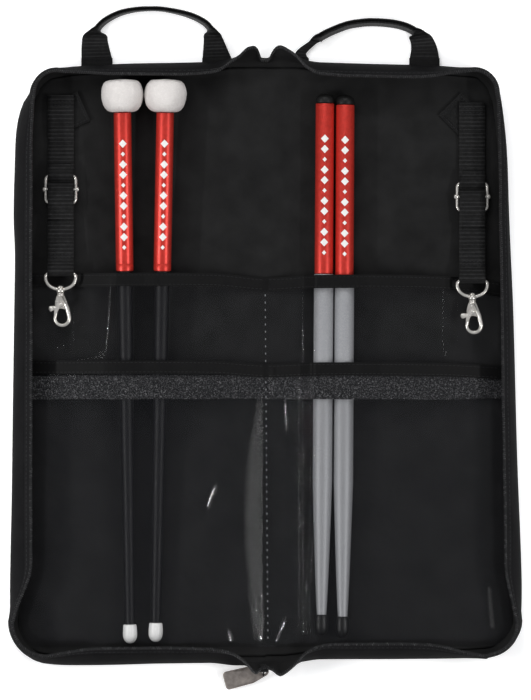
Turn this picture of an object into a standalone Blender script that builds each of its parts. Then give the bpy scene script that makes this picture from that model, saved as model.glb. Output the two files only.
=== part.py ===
"""A drum stick bag lying open like a book, with two mallets and two sticks in its clear pockets.

Metres, +Z up. The origin is under the middle of the spine, on the face that the bag lies on. +Y runs
towards the carrying handles. Plan places are written (u, y), where u is the distance out from the middle
of the spine: the left half has x = -u and the right half x = u. Fabric that touches is kept GAP apart.
"""

import math

import bmesh
import bpy
from mathutils import Matrix, Vector

GAP = 0.0003

# The panels: each half is a shallow tray, hinged to the spine along HINGE_U at the top of the lining.
SPINE_WIDTH = 0.052
HINGE_U = SPINE_WIDTH / 2
HINGE_Z = 0.005
HINGE_GAP = 0.0004
HALF_U = 0.1883
HALF_TAPER = 0.0325
HALF_Y = 0.2265
TOP_CORNER = 0.024
BOTTOM_CORNER = 0.030
SHELL = (0.0, 0.0010)
FOAM = (0.0013, 0.0038)
LINING = (0.0041, 0.0049)
FOAM_INSET = 0.0054
LINING_INSET = 0.0060
SPINE_END_Y = 0.2290

# The walls: they lean in along the straight runs and stand out at the corners.
WALL_THICK = 0.0026
WALL_BASE_INSET = 0.0006
WALL_Z = (FOAM[0], 0.0286)
SIDE_RIM_INSET = 0.0110
END_RIM_INSET = 0.0092
CORNER_RIM_INSET = 0.0045
LEAN_RUN = 0.060
TOP_FLARE_INSET = 0.0060
BOTTOM_FLARE_INSET = 0.0085
FLARE_RUN = 0.045
CHAIN_WIDTH = 0.0034
CHAIN_Z = (0.0289, 0.0305)
END_WALL_THICK = 0.0018
END_WALL_BASE_Y = 0.2272
END_WALL_TOP = 0.0243
TOP_EARS = ((0.0095, 0.0112), (-0.0095, 0.0112))
BOTTOM_EARS = ((0.0110, 0.0060), (-0.0080, 0.0055))
EAR_VALLEY = 0.0016
EAR_SPREAD = (0.0095, 0.0155)

# The clear pockets: a rear sheet over the sticks and a front sheet over that, both sewn to the lining.
SHEET = 0.0005
SHEET_FOOT_Z = LINING[1] + 2 * GAP
POCKET_FLOOR_Y = -0.2165
POCKET_SHOULDER_Y = -0.2132
POCKET_CORNER_Y = -0.2070
REAR_MOUTH_Y = 0.0670
FRONT_MOUTH_Y = 0.0090
REAR_TOP_AT_MOUTH = 0.0242
REAR_TOP_AT_FLOOR = 0.0186
FRONT_CLEAR = 0.0052
POCKET_FOOT_U = 0.0285
POCKET_SHOULDER_U = 0.0360
POCKET_OUTER_SHOULDER_U = 0.1155
POCKET_OUTER_FOOT_U = 0.1390
POCKET_EDGE_INSET = 0.0098
FRONT_STEP = 0.0022
BINDING = 0.0012
BINDING_WIDTH = 0.0095
TAPE = 0.0007
TAPE_Y = (-0.0280, -0.0102)
SPINE_POCKET_U = 0.0252
SPINE_POCKET_FLOOR_Y = -0.2105
SPINE_REAR_Z = (0.0052, 0.0057)
SPINE_FRONT_Z = (0.0060, 0.0065)

# The carrying handles: webbing that turns on edge and is folded to half its width along the grip.
HANDLE_HINGE = (0.2282, 0.0030)
WEB_WIDTH = 0.0220
WEB = 0.0016
GRIP_WIDTH = 0.0120
GRIP = 0.0040
GRIP_Z = 0.0068
ARCH_ACROSS = 0.62
ARCH_RISE = 0.72
LEG_SHARE = 0.75
HANDLES = {
    "left": {"legs": (0.1275, 0.0375), "apex_y": 0.2680, "inner_leg": 1.0},
    "right": {"legs": (0.1200, 0.0340), "apex_y": 0.2590, "inner_leg": 0.6},
}

# The hanging straps: folded round the ring of a swivel hook, with a wire slider between the layers.
STRAP_WIDTH = 0.0200
STRAP_WEB = 0.0012
STRAP_SLOT = 0.0028
STRAP_RISE = math.radians(3.9)
STRAP_LENGTH = 0.1350
STRAP_TAIL = 0.0900
STRAPS = {
    "left": {"u": 0.1543, "y": 0.2010, "patch": (0.1480, 0.1880), "patch_turn": 24.0},
    "right": {"u": 0.1558, "y": 0.1955, "patch": (0.1475, 0.1860), "patch_turn": 45.0},
}
STRAP_Z = 0.0076
PATCH = 0.0240
PATCH_Z = (LINING[1] + GAP, LINING[1] + GAP + 0.0011)
SLIDER_AT = 0.0710
SLIDER_SIZE = (0.0249, 0.0230)
SLIDER_WIRE = 0.0010
SLIDER_KNOB = 0.0017
RING_WIRE = 0.00115
RING_WIDTH = 0.0253
RING_DEPTH = 0.0140
SWIVEL_BOSS = (0.0014, 0.0029, 0.0034)
SWIVEL_POST = 0.0010
HOOK_Z = 0.0159
HOOK_HALF_THICK = 0.0022
HOOK_CHEEK_Z = 0.0002
LEVER_Z = (0.0005, 0.0019)
LEVER_PIVOT = (0.0003, -0.0087)
LOOP_CENTRE = (0.0012, -0.0196)
LOOP_OUTER = 0.0067
LOOP_INNER = 0.0042
HOOK_CHEEK = (
    (-0.0026, -0.0012),
    (-0.0042, -0.0085),
    (-0.0038, -0.0112),
    (0.0010, -0.0122),
    (0.0052, -0.0125),
    (0.0056, -0.0100),
    (0.0042, -0.0065),
    (0.0026, -0.0012),
)

# The sticks: (u, y) at the two ends of each axis, and how far their surfaces stay off the lining.
STICK_FLOOR = LINING[1] + GAP
MALLETS = (
    ((-0.1080, 0.2128), (-0.1020, -0.2122)),
    ((-0.0750, 0.2128), (-0.0829, -0.2110)),
)
STICKS = (
    ((0.0449, 0.2022), (0.0421, -0.2066)),
    ((0.0601, 0.2012), (0.0580, -0.2080)),
)
MALLET_HEAD = (0.0161, 0.0250)
MALLET_GRIP = (0.0066, 0.1195)
MALLET_SHAFT = (0.0058, 0.0027)
MALLET_TIP = (0.0054, 0.0145)
STICK_CAP = (0.0070, 0.0073)
STICK_GRIP = (0.0070, 0.1285)
STICK_SHAFT = (0.0074, 0.0036)
STICK_TAPER = 0.1010
STICK_TIP = (0.0052, 0.0162)
ACORN = ((0.03, 0.42), (0.12, 0.78), (0.26, 0.97), (0.40, 1.0), (0.60, 0.92), (0.82, 0.74))

# The zip's slider and pull, left at the bottom end of the spine.
PULL_PIVOT = (-0.0015, -0.2358)
PULL_Z = (0.0030, 0.0046)
PULL_LENGTH = 0.0310
PULL_WIDTH = 0.0128
PULL_TURN = math.radians(197.0)
PULL_POST = 0.0013
PULL_EYE = (0.0018, 0.0037)
ZIP_SLIDER = (0.0080, 0.0056)
ZIP_SLIDER_Z = (0.0056, 0.0166)
POST_FOOT = (0.0024, 0.0012)

SIDES = {"left": -1, "right": 1}
COLOURS = {
    "nylon": ((0.012, 0.012, 0.013), 0.85, 0.0),
    "foam": ((0.05, 0.05, 0.055), 0.95, 0.0),
    "lining": ((0.016, 0.016, 0.017), 0.8, 0.0),
    "webbing": ((0.014, 0.014, 0.015), 0.75, 0.0),
    "coil": ((0.02, 0.02, 0.02), 0.4, 0.0),
    "vinyl": ((0.03, 0.031, 0.036), 0.12, 0.0),
    "loop_pile": ((0.06, 0.06, 0.065), 0.9, 0.0),
    "nickel": ((0.62, 0.60, 0.56), 0.25, 1.0),
    "gunmetal": ((0.17, 0.155, 0.145), 0.35, 1.0),
    "felt": ((0.85, 0.82, 0.80), 0.95, 0.0),
    "red_anodised": ((0.42, 0.02, 0.016), 0.35, 0.6),
    "black_shaft": ((0.015, 0.015, 0.016), 0.4, 0.0),
    "silver_shaft": ((0.30, 0.31, 0.32), 0.35, 0.6),
    "white_nylon": ((0.80, 0.80, 0.79), 0.35, 0.0),
    "black_nylon": ((0.012, 0.012, 0.012), 0.3, 0.0),
}


def clear_scene():
    for obj in list(bpy.data.objects):
        bpy.data.objects.remove(obj)


def material(name):
    found = bpy.data.materials.get(name)
    if found:
        return found
    colour, roughness, metallic = COLOURS[name]
    made = bpy.data.materials.new(name)
    made.use_nodes = True
    shader = made.node_tree.nodes["Principled BSDF"]
    shader.inputs["Base Color"].default_value = (*colour, 1)
    shader.inputs["Roughness"].default_value = roughness
    shader.inputs["Metallic"].default_value = metallic
    return made


def place(obj, finish, at=None):
    """Links the object, gives it its material and stands it at a frame."""
    bpy.context.scene.collection.objects.link(obj)
    obj.data.materials.append(material(finish))
    if at is not None:
        obj.matrix_world = at
    return obj


def solid(name, mesh, finish, at=None):
    """An object from a bmesh, with its faces turned outwards and its round faces smooth."""
    bmesh.ops.recalc_face_normals(mesh, faces=mesh.faces)
    data = bpy.data.meshes.new(name)
    mesh.to_mesh(data)
    mesh.free()
    data.shade_smooth()
    data.set_sharp_from_angle(angle=math.radians(35))
    return place(bpy.data.objects.new(name, data), finish, at)


def loft(name, rings, finish, at=None, joined=False):
    """A solid through equal rings of points. Its ends are flat, unless the last ring joins the first.

    Every square between two rings is split along its higher diagonal, so that layers stay apart.
    """
    mesh = bmesh.new()
    loops = [[mesh.verts.new(point) for point in ring] for ring in rings]
    count = len(loops[0])
    spans = list(zip(loops, loops[1:]))
    if joined:
        spans.append((loops[-1], loops[0]))
    for here, there in spans:
        for i in range(count):
            a, b, c, d = here[i], here[(i + 1) % count], there[(i + 1) % count], there[i]
            if a.co.z + c.co.z < b.co.z + d.co.z:
                a, b, c, d = b, c, d, a
            mesh.faces.new((a, b, c))
            mesh.faces.new((a, c, d))
    if not joined:
        mesh.faces.new(loops[0])
        mesh.faces.new(loops[-1])
    return solid(name, mesh, finish, at)


def plate(name, outlines, z, finish, at=None):
    """A flat solid from z[0] to z[1]. The first outline is its edge, and the others are holes."""
    curve = bpy.data.curves.new(name, "CURVE")
    curve.dimensions = "2D"
    curve.fill_mode = "BOTH"
    curve.extrude = (z[1] - z[0]) / 2
    for outline in outlines:
        spline = curve.splines.new("POLY")
        spline.points.add(len(outline) - 1)
        for point, (x, y) in zip(spline.points, outline):
            point.co = (x, y, 0, 1)
        spline.use_cyclic_u = True
    lift = Matrix.Translation((0, 0, (z[0] + z[1]) / 2))
    return place(bpy.data.objects.new(name, curve), finish, lift if at is None else at @ lift)


def turned(name, profile, finish, at, segments=16):
    """A solid of revolution about its frame's Y axis, from (radius, y) points, closed at both ends."""
    mesh = bmesh.new()
    rings = []
    for radius, y in profile:
        if radius == 0:
            rings.append([mesh.verts.new((0, y, 0))])
            continue
        turns = [2 * math.pi * i / segments for i in range(segments)]
        rings.append([mesh.verts.new((radius * math.cos(a), y, radius * math.sin(a))) for a in turns])
    for here, there in zip(rings, rings[1:]):
        for i in range(segments):
            j = (i + 1) % segments
            corners = [ring[k % len(ring)] for ring, k in ((here, i), (here, j), (there, j), (there, i))]
            mesh.faces.new(dict.fromkeys(corners))
    for end in (rings[0], rings[-1]):
        if len(end) > 1:
            mesh.faces.new(end)
    return solid(name, mesh, finish, at)


def circle(centre, radius, count=16):
    x, y = centre
    turns = [2 * math.pi * i / count for i in range(count)]
    return [(x + radius * math.cos(a), y + radius * math.sin(a)) for a in turns]


def arc(centre, radius, start, end, count):
    """Points on an arc, both ends included, with its angles in degrees."""
    x, y = centre
    turns = [math.radians(start + (end - start) * i / count) for i in range(count + 1)]
    return [(x + radius * math.cos(a), y + radius * math.sin(a)) for a in turns]


def tube(points, radius, sides=8):
    """The rings of a wire along a closed plane loop of points."""
    rings = []
    count = len(points)
    normal = (points[1] - points[0]).cross(points[2] - points[1]).normalized()
    for i, point in enumerate(points):
        along = (points[(i + 1) % count] - points[i - 1]).normalized()
        across = normal.cross(along)
        turns = [2 * math.pi * k / sides for k in range(sides)]
        rings.append([point + radius * (math.cos(a) * across + math.sin(a) * normal) for a in turns])
    return rings


def join(obj, *others):
    """Unites the others with the object by Booleans, and keeps them as hidden helpers."""
    for other in others:
        union = obj.modifiers.new(other.name, "BOOLEAN")
        union.operation = "UNION"
        union.object = other
        other.hide_render = True
        other.display_type = "WIRE"
    return obj


def smooth(t):
    t = min(max(t, 0.0), 1.0)
    return t * t * (3 - 2 * t)


def side_u(y):
    """How far out a half's long edge is at y."""
    return HALF_U - HALF_TAPER * y


def edge_path(inset):
    """A half's free edges as (u, y, outward normal), from the hinge's bottom end round to its top."""
    lean = math.atan(HALF_TAPER)
    top_u = side_u(HALF_Y) - inset
    bottom_u = side_u(-HALF_Y) - inset
    path = []
    run = (LEAN_RUN, LEAN_RUN * 0.6, LEAN_RUN * 0.3)
    corner = BOTTOM_CORNER - inset
    y = -HALF_Y + inset
    start = bottom_u - corner
    near_hinge = [HINGE_U + HINGE_GAP, HINGE_U + FLARE_RUN * 0.5, HINGE_U + FLARE_RUN]
    path += [(u, y, (0, -1)) for u in [*near_hinge, *(start - r for r in run)]]
    for u, v in arc((start, y + corner), corner, -90, math.degrees(lean), 6):
        path.append((u, v, ((u - start) / corner, (v - y - corner) / corner)))
    low = y + corner
    corner = TOP_CORNER - inset
    high = HALF_Y - inset - corner
    normal = (math.cos(lean), math.sin(lean))
    along_side = [*(low + r for r in reversed(run)), 0.0, *(high - r for r in run)]
    path += [(side_u(v) - inset, v, normal) for v in along_side]
    start = top_u - corner
    for u, v in arc((start, high), corner, math.degrees(lean), 90, 6):
        path.append((u, v, ((u - start) / corner, (v - high) / corner)))
    y = HALF_Y - inset
    path += [(u, y, (0, 1)) for u in [*(start - r for r in reversed(run)), *near_hinge[::-1]]]
    return path


def pocket_edge_u(y):
    """How far out a pocket sheet reaches at y: along the half's long edge and round its bottom corner."""
    corner = BOTTOM_CORNER - POCKET_EDGE_INSET
    centre_y = -HALF_Y + BOTTOM_CORNER
    if y >= centre_y:
        return side_u(y) - POCKET_EDGE_INSET
    centre_u = side_u(-HALF_Y) - BOTTOM_CORNER
    return centre_u + math.sqrt(max(corner**2 - (centre_y - y) ** 2, 0.0))


def rim_inset(u, y):
    """How far in from the edge the wall's rim leans at a place on the edge."""
    corner_y = HALF_Y - TOP_CORNER if y > 0 else HALF_Y - BOTTOM_CORNER
    corner_u = side_u(y) - (TOP_CORNER if y > 0 else BOTTOM_CORNER)
    from_corner = max(corner_y - abs(y), corner_u - u, 0.0)
    full = SIDE_RIM_INSET if abs(y) < corner_y else END_RIM_INSET
    inset = CORNER_RIM_INSET + (full - CORNER_RIM_INSET) * smooth(from_corner / LEAN_RUN)
    if abs(y) < corner_y:
        return inset
    flare = TOP_FLARE_INSET if y > 0 else BOTTOM_FLARE_INSET
    return flare + (inset - flare) * smooth((u - HINGE_U) / FLARE_RUN)


def rim_path():
    """The rim's line round a half, as (u, y, outward normal)."""
    path = []
    for u, y, (nu, ny) in edge_path(0.0):
        lean = rim_inset(u, y)
        path.append((u - nu * lean, y - ny * lean, (nu, ny)))
    return path


def panel_outline(side, inset):
    return [(side * u, y) for u, y, _ in edge_path(inset)]


def half_panels(name, side):
    """The padded back of one half: shell, foam and lining."""
    plate(f"{name}_back_shell", [panel_outline(side, 0.0)], SHELL, "nylon")
    plate(f"{name}_foam_pad", [panel_outline(side, FOAM_INSET)], FOAM, "foam")
    plate(f"{name}_lining", [panel_outline(side, LINING_INSET)], LINING, "lining")


def wall(name, side):
    """The padded wall round the three free edges of a half, and the zip's coil on its rim."""
    rings = []
    chain = []
    for (u, y, (nu, ny)), (ru, ry, _) in zip(edge_path(0.0), rim_path()):
        base = WALL_BASE_INSET
        section = (
            (u - nu * base, y - ny * base, WALL_Z[0]),
            (ru, ry, WALL_Z[1]),
            (ru - nu * WALL_THICK, ry - ny * WALL_THICK, WALL_Z[1]),
            (u - nu * (base + WALL_THICK), y - ny * (base + WALL_THICK), WALL_Z[0]),
        )
        rings.append([(side * a, b, z) for a, b, z in section])
        middle = WALL_THICK / 2
        reach = CHAIN_WIDTH / 2
        across = (middle - reach, middle - reach * 0.5, middle + reach * 0.5, middle + reach)
        heights = (CHAIN_Z[0], CHAIN_Z[1], CHAIN_Z[1], CHAIN_Z[0])
        chain.append([(side * (ru - nu * d), ry - ny * d, z) for d, z in zip(across, heights)])
    loft(f"{name}_gusset", rings, "nylon")
    loft(f"{name}_zip_chain", chain, "coil")


def spine_panels():
    edge = HINGE_U - HINGE_GAP
    for name, z, end, finish in (
        ("spine_shell", SHELL, SPINE_END_Y, "nylon"),
        ("spine_foam_pad", FOAM, END_WALL_BASE_Y - 2 * GAP, "foam"),
        ("spine_lining", LINING, END_WALL_BASE_Y - 2 * GAP, "lining"),
    ):
        outline = [(-edge, -end), (edge, -end), (edge, end), (-edge, end)]
        plate(name, [outline], z, finish)


def ear_reach(x, ears):
    """How far out of its base the end wall's rim leans at x: a rounded ear each side of a valley."""
    out = EAR_VALLEY
    for centre, reach in ears:
        towards_valley = abs(x) < abs(centre) or x * centre < 0
        spread = EAR_SPREAD[0] if towards_valley else EAR_SPREAD[1]
        out += (reach - EAR_VALLEY) * smooth(1 - abs(x - centre) / spread) ** 0.75
    return out


def end_wall(name, way, ears):
    """The wall across one end of the spine, whose rim folds out into two ears."""
    edge = HINGE_U - HINGE_GAP
    rings = []
    count = 24
    for i in range(count + 1):
        x = -edge + 2 * edge * i / count
        reach = ear_reach(x, ears)
        rings.append(
            [
                (x, way * END_WALL_BASE_Y, FOAM[0]),
                (x, way * (END_WALL_BASE_Y + reach), END_WALL_TOP),
                (x, way * (END_WALL_BASE_Y + reach + END_WALL_THICK), END_WALL_TOP),
                (x, way * (END_WALL_BASE_Y + END_WALL_THICK), FOAM[0]),
            ]
        )
    loft(name, rings, "nylon")


def pocket_line(y, rear):
    """A pocket sheet's inner face across a half at y, as (u, z) from the hinge out to its side seam."""
    fall = (REAR_MOUTH_Y - y) / (REAR_MOUTH_Y - POCKET_SHOULDER_Y)
    top = REAR_TOP_AT_MOUTH + (REAR_TOP_AT_FLOOR - REAR_TOP_AT_MOUTH) * fall
    foot = SHEET_FOOT_Z
    spread = 0.0
    if not rear:
        top += SHEET + FRONT_CLEAR
        foot += SHEET + TAPE + 2 * GAP
        spread = FRONT_STEP
    if y < POCKET_SHOULDER_Y:
        share = (y - POCKET_FLOOR_Y) / (POCKET_SHOULDER_Y - POCKET_FLOOR_Y)
        top = foot + 0.0002 + (top - foot) * share
    return [
        (POCKET_FOOT_U, foot),
        (POCKET_SHOULDER_U - spread, top),
        (POCKET_OUTER_SHOULDER_U + spread, top),
        (POCKET_OUTER_FOOT_U + spread, foot),
        (pocket_edge_u(y), foot),
    ]


def offset_line(line, distance):
    """A line of (u, z) points moved sideways by a distance, to the side that is up."""
    moved = []
    for i, point in enumerate(line):
        here = Vector(point)
        before = (here - Vector(line[i - 1])).normalized() if i else None
        after = (Vector(line[i + 1]) - here).normalized() if i + 1 < len(line) else None
        before = before or after
        after = after or before
        normal = Vector((-before.y - after.y, before.x + after.x)).normalized()
        reach = distance / max(normal.dot(Vector((-before.y, before.x))), 0.5)
        moved.append(tuple(here + normal * reach))
    return moved


def pocket_layer(name, side, rear, stations, low, high, finish, first=0):
    """A layer that follows a pocket sheet, from low to high above its inner face, through y stations."""
    rings = []
    for y in stations:
        line = pocket_line(y, rear)[first:]
        ring = offset_line(line, low) + offset_line(line, high)[::-1]
        rings.append([(side * u, y, z) for u, z in ring])
    loft(name, rings, finish)


def half_pockets(name, side):
    for layer, rear, mouth in (("rear", True, REAR_MOUTH_Y), ("front", False, FRONT_MOUTH_Y)):
        top = mouth - BINDING_WIDTH - GAP
        corner = (-HALF_Y + BOTTOM_CORNER, POCKET_CORNER_Y, POCKET_SHOULDER_Y, POCKET_FLOOR_Y)
        stations = (top, *TAPE_Y[::-1], *corner)
        pocket_layer(f"{name}_{layer}_pocket_sheet", side, rear, stations, 0.0, SHEET, "vinyl")
        low = -(BINDING - SHEET) / 4
        edges = (mouth, mouth - BINDING_WIDTH)
        pocket_layer(f"{name}_{layer}_pocket_binding", side, rear, edges, low, low + BINDING, "webbing")
    low = SHEET + GAP
    pocket_layer(f"{name}_loop_tape", side, True, TAPE_Y[::-1], low, low + TAPE, "loop_pile", first=1)


def spine_pockets():
    """The stretch of the two pocket sheets that crosses the spine, where they are stitched down."""
    for layer, mouth, z in (("rear", REAR_MOUTH_Y, SPINE_REAR_Z), ("front", FRONT_MOUTH_Y, SPINE_FRONT_Z)):
        outline = [
            (-SPINE_POCKET_U, SPINE_POCKET_FLOOR_Y),
            (SPINE_POCKET_U, SPINE_POCKET_FLOOR_Y),
            (SPINE_POCKET_U, mouth),
            (-SPINE_POCKET_U, mouth),
        ]
        plate(f"spine_{layer}_pocket_sheet", [outline], z, "vinyl")


def handle(name, side, shape):
    """A carrying handle: flat webbing legs that turn on edge into a folded, arched grip."""
    outer, inner = shape["legs"]
    hinge_y, hinge_z = HANDLE_HINGE
    rise = shape["apex_y"] - GRIP / 2 - hinge_y
    up = Vector((0, 0, 1))
    count = 28
    path = []
    for i in range(count + 1):
        turn = math.pi * i / count
        across = math.copysign(abs(math.cos(turn)) ** ARCH_ACROSS, math.cos(turn))
        u = (outer + inner) / 2 + (outer - inner) / 2 * across
        path.append(Vector((u, hinge_y + rise * math.sin(turn) ** ARCH_RISE, 0)))
    rings = []
    for i, point in enumerate(path):
        along = (path[min(i + 1, count)] - path[max(i - 1, 0)]).normalized()
        out = Vector((along.y, -along.x, 0))
        leg = 1 - smooth((point.y - hinge_y) / (rise * LEG_SHARE))
        twist = (1 - leg) * math.pi / 2
        leg_width = WEB_WIDTH * (1.0 if i < count / 2 else shape["inner_leg"])
        width = leg_width * leg + GRIP_WIDTH * (1 - leg)
        thick = WEB * leg + GRIP * (1 - leg)
        flat = (out * math.cos(twist) + up * math.sin(twist)) * width / 2
        face = (up * math.cos(twist) - out * math.sin(twist)) * thick / 2
        lowest = (width * math.sin(twist) + thick * math.cos(twist)) / 2
        centre = point + up * max(hinge_z, GRIP_Z * (1 - leg), lowest + GAP)
        corners = (centre + flat + face, centre - flat + face, centre - flat - face, centre + flat - face)
        rings.append([(side * p.x, p.y, p.z) for p in corners])
    loft(f"{name}_handle", rings, "webbing")


def strap_frame(shape, side):
    """A strap's frame: its origin is the seam at the top, and the strap runs along its -Y."""
    seam = Matrix.Translation((side * shape["u"], shape["y"], STRAP_Z))
    return seam @ Matrix.Rotation(-STRAP_RISE, 4, "X")


def strap_anchor(name, side, shape):
    """The square webbing patch that the strap is sewn to, turned on the lining."""
    u, y = shape["patch"]
    half = PATCH / 2
    at = Matrix.Translation((side * u, y, 0)) @ Matrix.Rotation(math.radians(shape["patch_turn"]), 4, "Z")
    outline = [(-half, -half), (half, -half), (half, half), (-half, half)]
    plate(f"{name}_strap_anchor", [outline], PATCH_Z, "webbing", at)


def strap(name, at):
    """One length of webbing, folded back under itself round the hook's ring, as a hairpin."""
    skin = STRAP_WEB / 2
    fold_z = -(STRAP_WEB + STRAP_SLOT) / 2
    inner = STRAP_SLOT / 2
    outer = inner + STRAP_WEB
    tail = -(STRAP_LENGTH - STRAP_TAIL)
    line = [(0, -skin), (0, skin)]
    line += arc((-STRAP_LENGTH, fold_z), outer, 90, 270, 10)
    line += [(tail, fold_z - outer), (tail, fold_z - inner)]
    line += arc((-STRAP_LENGTH, fold_z), inner, 270, 90, 10)
    half = STRAP_WIDTH / 2
    loft(f"{name}_strap", [[(x, y, z) for y, z in line] for x in (-half, half)], "webbing", at)


def round_frame(width, depth, corner):
    """A rectangle with round corners, as plane points about its middle."""
    x, y = width / 2 - corner, depth / 2 - corner
    line = []
    for centre, start in (((x, y), 0), ((-x, y), 90), ((-x, -y), 180), ((x, -y), 270)):
        line += arc(centre, corner, start, start + 90, 4)
    return line


def rod(name, start, end, radius, finish, at, segments=12):
    """A straight round bar between two points of a frame."""
    start, end = Vector(start), Vector(end)
    turn = Vector((0, 1, 0)).rotation_difference(end - start).to_matrix().to_4x4()
    profile = [(radius, 0), (radius, (end - start).length)]
    return turned(name, profile, finish, at @ Matrix.Translation(start) @ turn, segments)


def strap_slider(name, at):
    """The wire slider: a rounded frame with a centre bar that ends in a knob on each rail."""
    centre = Vector((0, -SLIDER_AT, -(STRAP_WEB + STRAP_SLOT) / 2))
    width, depth = SLIDER_SIZE
    middle = round_frame(width - 2 * SLIDER_WIRE, depth - 2 * SLIDER_WIRE, 0.0035)
    points = [centre + Vector((x, y, 0)) for x, y in middle]
    frame = loft(f"{name}_strap_slider", tube(points, SLIDER_WIRE), "nickel", at, joined=True)
    rail = Vector((width / 2 - SLIDER_WIRE, 0, 0))
    bar = rod(f"{name}_bar", centre - rail, centre + rail, SLIDER_WIRE * 0.95, "nickel", at, 8)
    knobs = []
    for way in (-1, 1):
        inside = centre + way * Vector((STRAP_WIDTH / 2 + GAP, 0, 0))
        outside = inside + way * Vector((2 * SLIDER_KNOB, 0, 0))
        knobs.append(rod(f"{name}_knob", inside, outside, SLIDER_KNOB, "nickel", at, 10))
    join(frame, bar, *knobs)


def hook_ring(name, at):
    """The D-shaped ring in the strap's fold, with the boss that the hook swivels in."""
    z = -(STRAP_WEB + STRAP_SLOT) / 2
    half = RING_WIDTH / 2 - RING_WIRE
    depth = RING_DEPTH - 2 * RING_WIRE
    line = [(-half + 0.0005, 0), (half - 0.0005, 0)]
    for i in range(15):
        a = math.pi * i / 14
        line.append((half * math.cos(a), -0.0012 - (depth - 0.0012) * math.sin(a) ** 0.85))
    points = [Vector((x, y - STRAP_LENGTH, z)) for x, y in line]
    ring = loft(f"{name}_hook_ring", tube(points, RING_WIRE), "nickel", at, joined=True)
    bore, outer, length = SWIVEL_BOSS
    end = Vector((0, -STRAP_LENGTH - depth - length * 0.6, z))
    top = end + Vector((0, length, 0))
    boss = rod(f"{name}_boss", end, top, outer, "nickel", at, 14)
    join(ring, boss)
    long = Vector((0, length, 0))
    cutter = rod(f"{name}_bore", end - long, top + long, bore, "nickel", at, 14)
    cut = ring.modifiers.new("bore", "BOOLEAN")
    cut.operation = "DIFFERENCE"
    cut.object = cutter
    cutter.hide_render = True
    cutter.display_type = "WIRE"
    return at @ end


def hook(name, at):
    """The swivel hook below the boss: cheek plate, open loop and post, and its thumb lever."""
    half = HOOK_HALF_THICK
    px, py = LEVER_PIVOT
    body = plate(f"{name}_hook_body", [HOOK_CHEEK], (-half, HOOK_CHEEK_Z), "nickel", at)
    loop = [(0.0034, -0.0070), (0.0036, -0.0110)]
    loop += arc(LOOP_CENTRE, LOOP_INNER, 15, -165, 10)
    loop += arc(LOOP_CENTRE, LOOP_OUTER, -188, 12, 14)
    loop += [(0.0062, -0.0100), (0.0046, -0.0070)]
    arm = plate(f"{name}_hook_arm", [loop], (-half, half), "nickel", at)
    collar = rod(f"{name}_collar", (0, -0.0028, 0), (0, -GAP, 0), 0.0026, "nickel", at, 14)
    boss_top = SWIVEL_BOSS[2] + GAP
    post = rod(f"{name}_post", (0, -0.0020, 0), (0, boss_top + 0.0006, 0), SWIVEL_POST, "nickel", at, 10)
    head = rod(f"{name}_head", (0, boss_top, 0), (0, boss_top + 0.0012, 0), 0.0021, "nickel", at, 12)
    rivet_ends = ((px, py, -half), (px, py, half + 0.0002))
    rivet = rod(f"{name}_rivet", *rivet_ends, 0.0011, "nickel", at, 12)
    join(as_mesh(body), as_mesh(arm), collar, post, head, rivet)
    lever = arc(LEVER_PIVOT, 0.0024, 100, -60, 8)
    lever += [(-0.0022, -0.0140), (-0.0033, -0.0172), (-0.0054, -0.0173), (-0.0052, -0.0147)]
    lever += arc((-0.0080, -0.0130), 0.0014, -100, -260, 6)
    lever += [(-0.0046, -0.0112), (-0.0030, -0.0085)]
    hole = circle(LEVER_PIVOT, 0.0014, 12)
    plate(f"{name}_hook_lever", [lever[::-1], hole], LEVER_Z, "nickel", at)


def as_mesh(obj):
    """The same object with a mesh in place of its curve, its caps joined to its sides."""
    name, finish, at = obj.name, obj.data.materials[0].name, obj.matrix_world.copy()
    bpy.context.view_layer.update()
    evaluated = obj.evaluated_get(bpy.context.evaluated_depsgraph_get())
    mesh = bmesh.new()
    mesh.from_mesh(evaluated.to_mesh())
    evaluated.to_mesh_clear()
    bmesh.ops.remove_doubles(mesh, verts=mesh.verts, dist=1e-6)
    bpy.data.objects.remove(obj)
    return solid(name, mesh, finish, at)


def stick_frame(ends, high, low):
    """A stick's frame: its origin is the middle of its tip's end, and its +Y runs up the axis."""
    (head_x, head_y), (tip_x, tip_y) = ends
    top = Vector((head_x, head_y, STICK_FLOOR + high))
    tip = Vector((tip_x, tip_y, STICK_FLOOR + low))
    along = (top - tip).normalized()
    across = along.cross(Vector((0, 0, 1))).normalized()
    at = Matrix((across, along, across.cross(along))).transposed().to_4x4()
    at.translation = tip
    return at, (top - tip).length


def round_tip(radius, length, neck):
    """An acorn: a round end, its widest place a third of the way up, and a neck."""
    profile = [(0, 0)]
    for share, width in ACORN:
        profile.append((radius * width, length * share))
    return [*profile, (neck, length)]


def mallet(name, ends):
    """A felt-headed mallet: head, anodised grip, tapered shaft and nylon tip."""
    head_r, head_l = MALLET_HEAD
    tip_r, tip_l = MALLET_TIP
    at, length = stick_frame(ends, head_r + 0.0005, tip_r)
    turned(f"{name}_tip", round_tip(tip_r, tip_l, MALLET_SHAFT[1]), "white_nylon", at, 12)
    grip_r, grip_l = MALLET_GRIP
    head_start = length - head_l
    grip_start = head_start - grip_l
    shaft = [(MALLET_SHAFT[1], tip_l + GAP), (MALLET_SHAFT[0], grip_start - GAP)]
    turned(f"{name}_shaft", shaft, "black_shaft", at, 12)
    edge = 0.0005
    grip = [(grip_r - edge, grip_start), (grip_r, grip_start + edge)]
    grip += [(grip_r, head_start - edge - GAP), (grip_r - edge, head_start - GAP)]
    turned(f"{name}_grip", grip, "red_anodised", at, 16)
    profile = []
    for i in range(7):
        a = math.pi / 2 * i / 6
        profile.append((head_r - 0.0075 + 0.0075 * math.sin(a), 0.0070 - 0.0070 * math.cos(a)))
    profile += [(r, head_l - y) for r, y in profile[::-1]]
    turned(f"{name}_head", [(r, head_start + y) for r, y in profile], "felt", at, 24)


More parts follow.
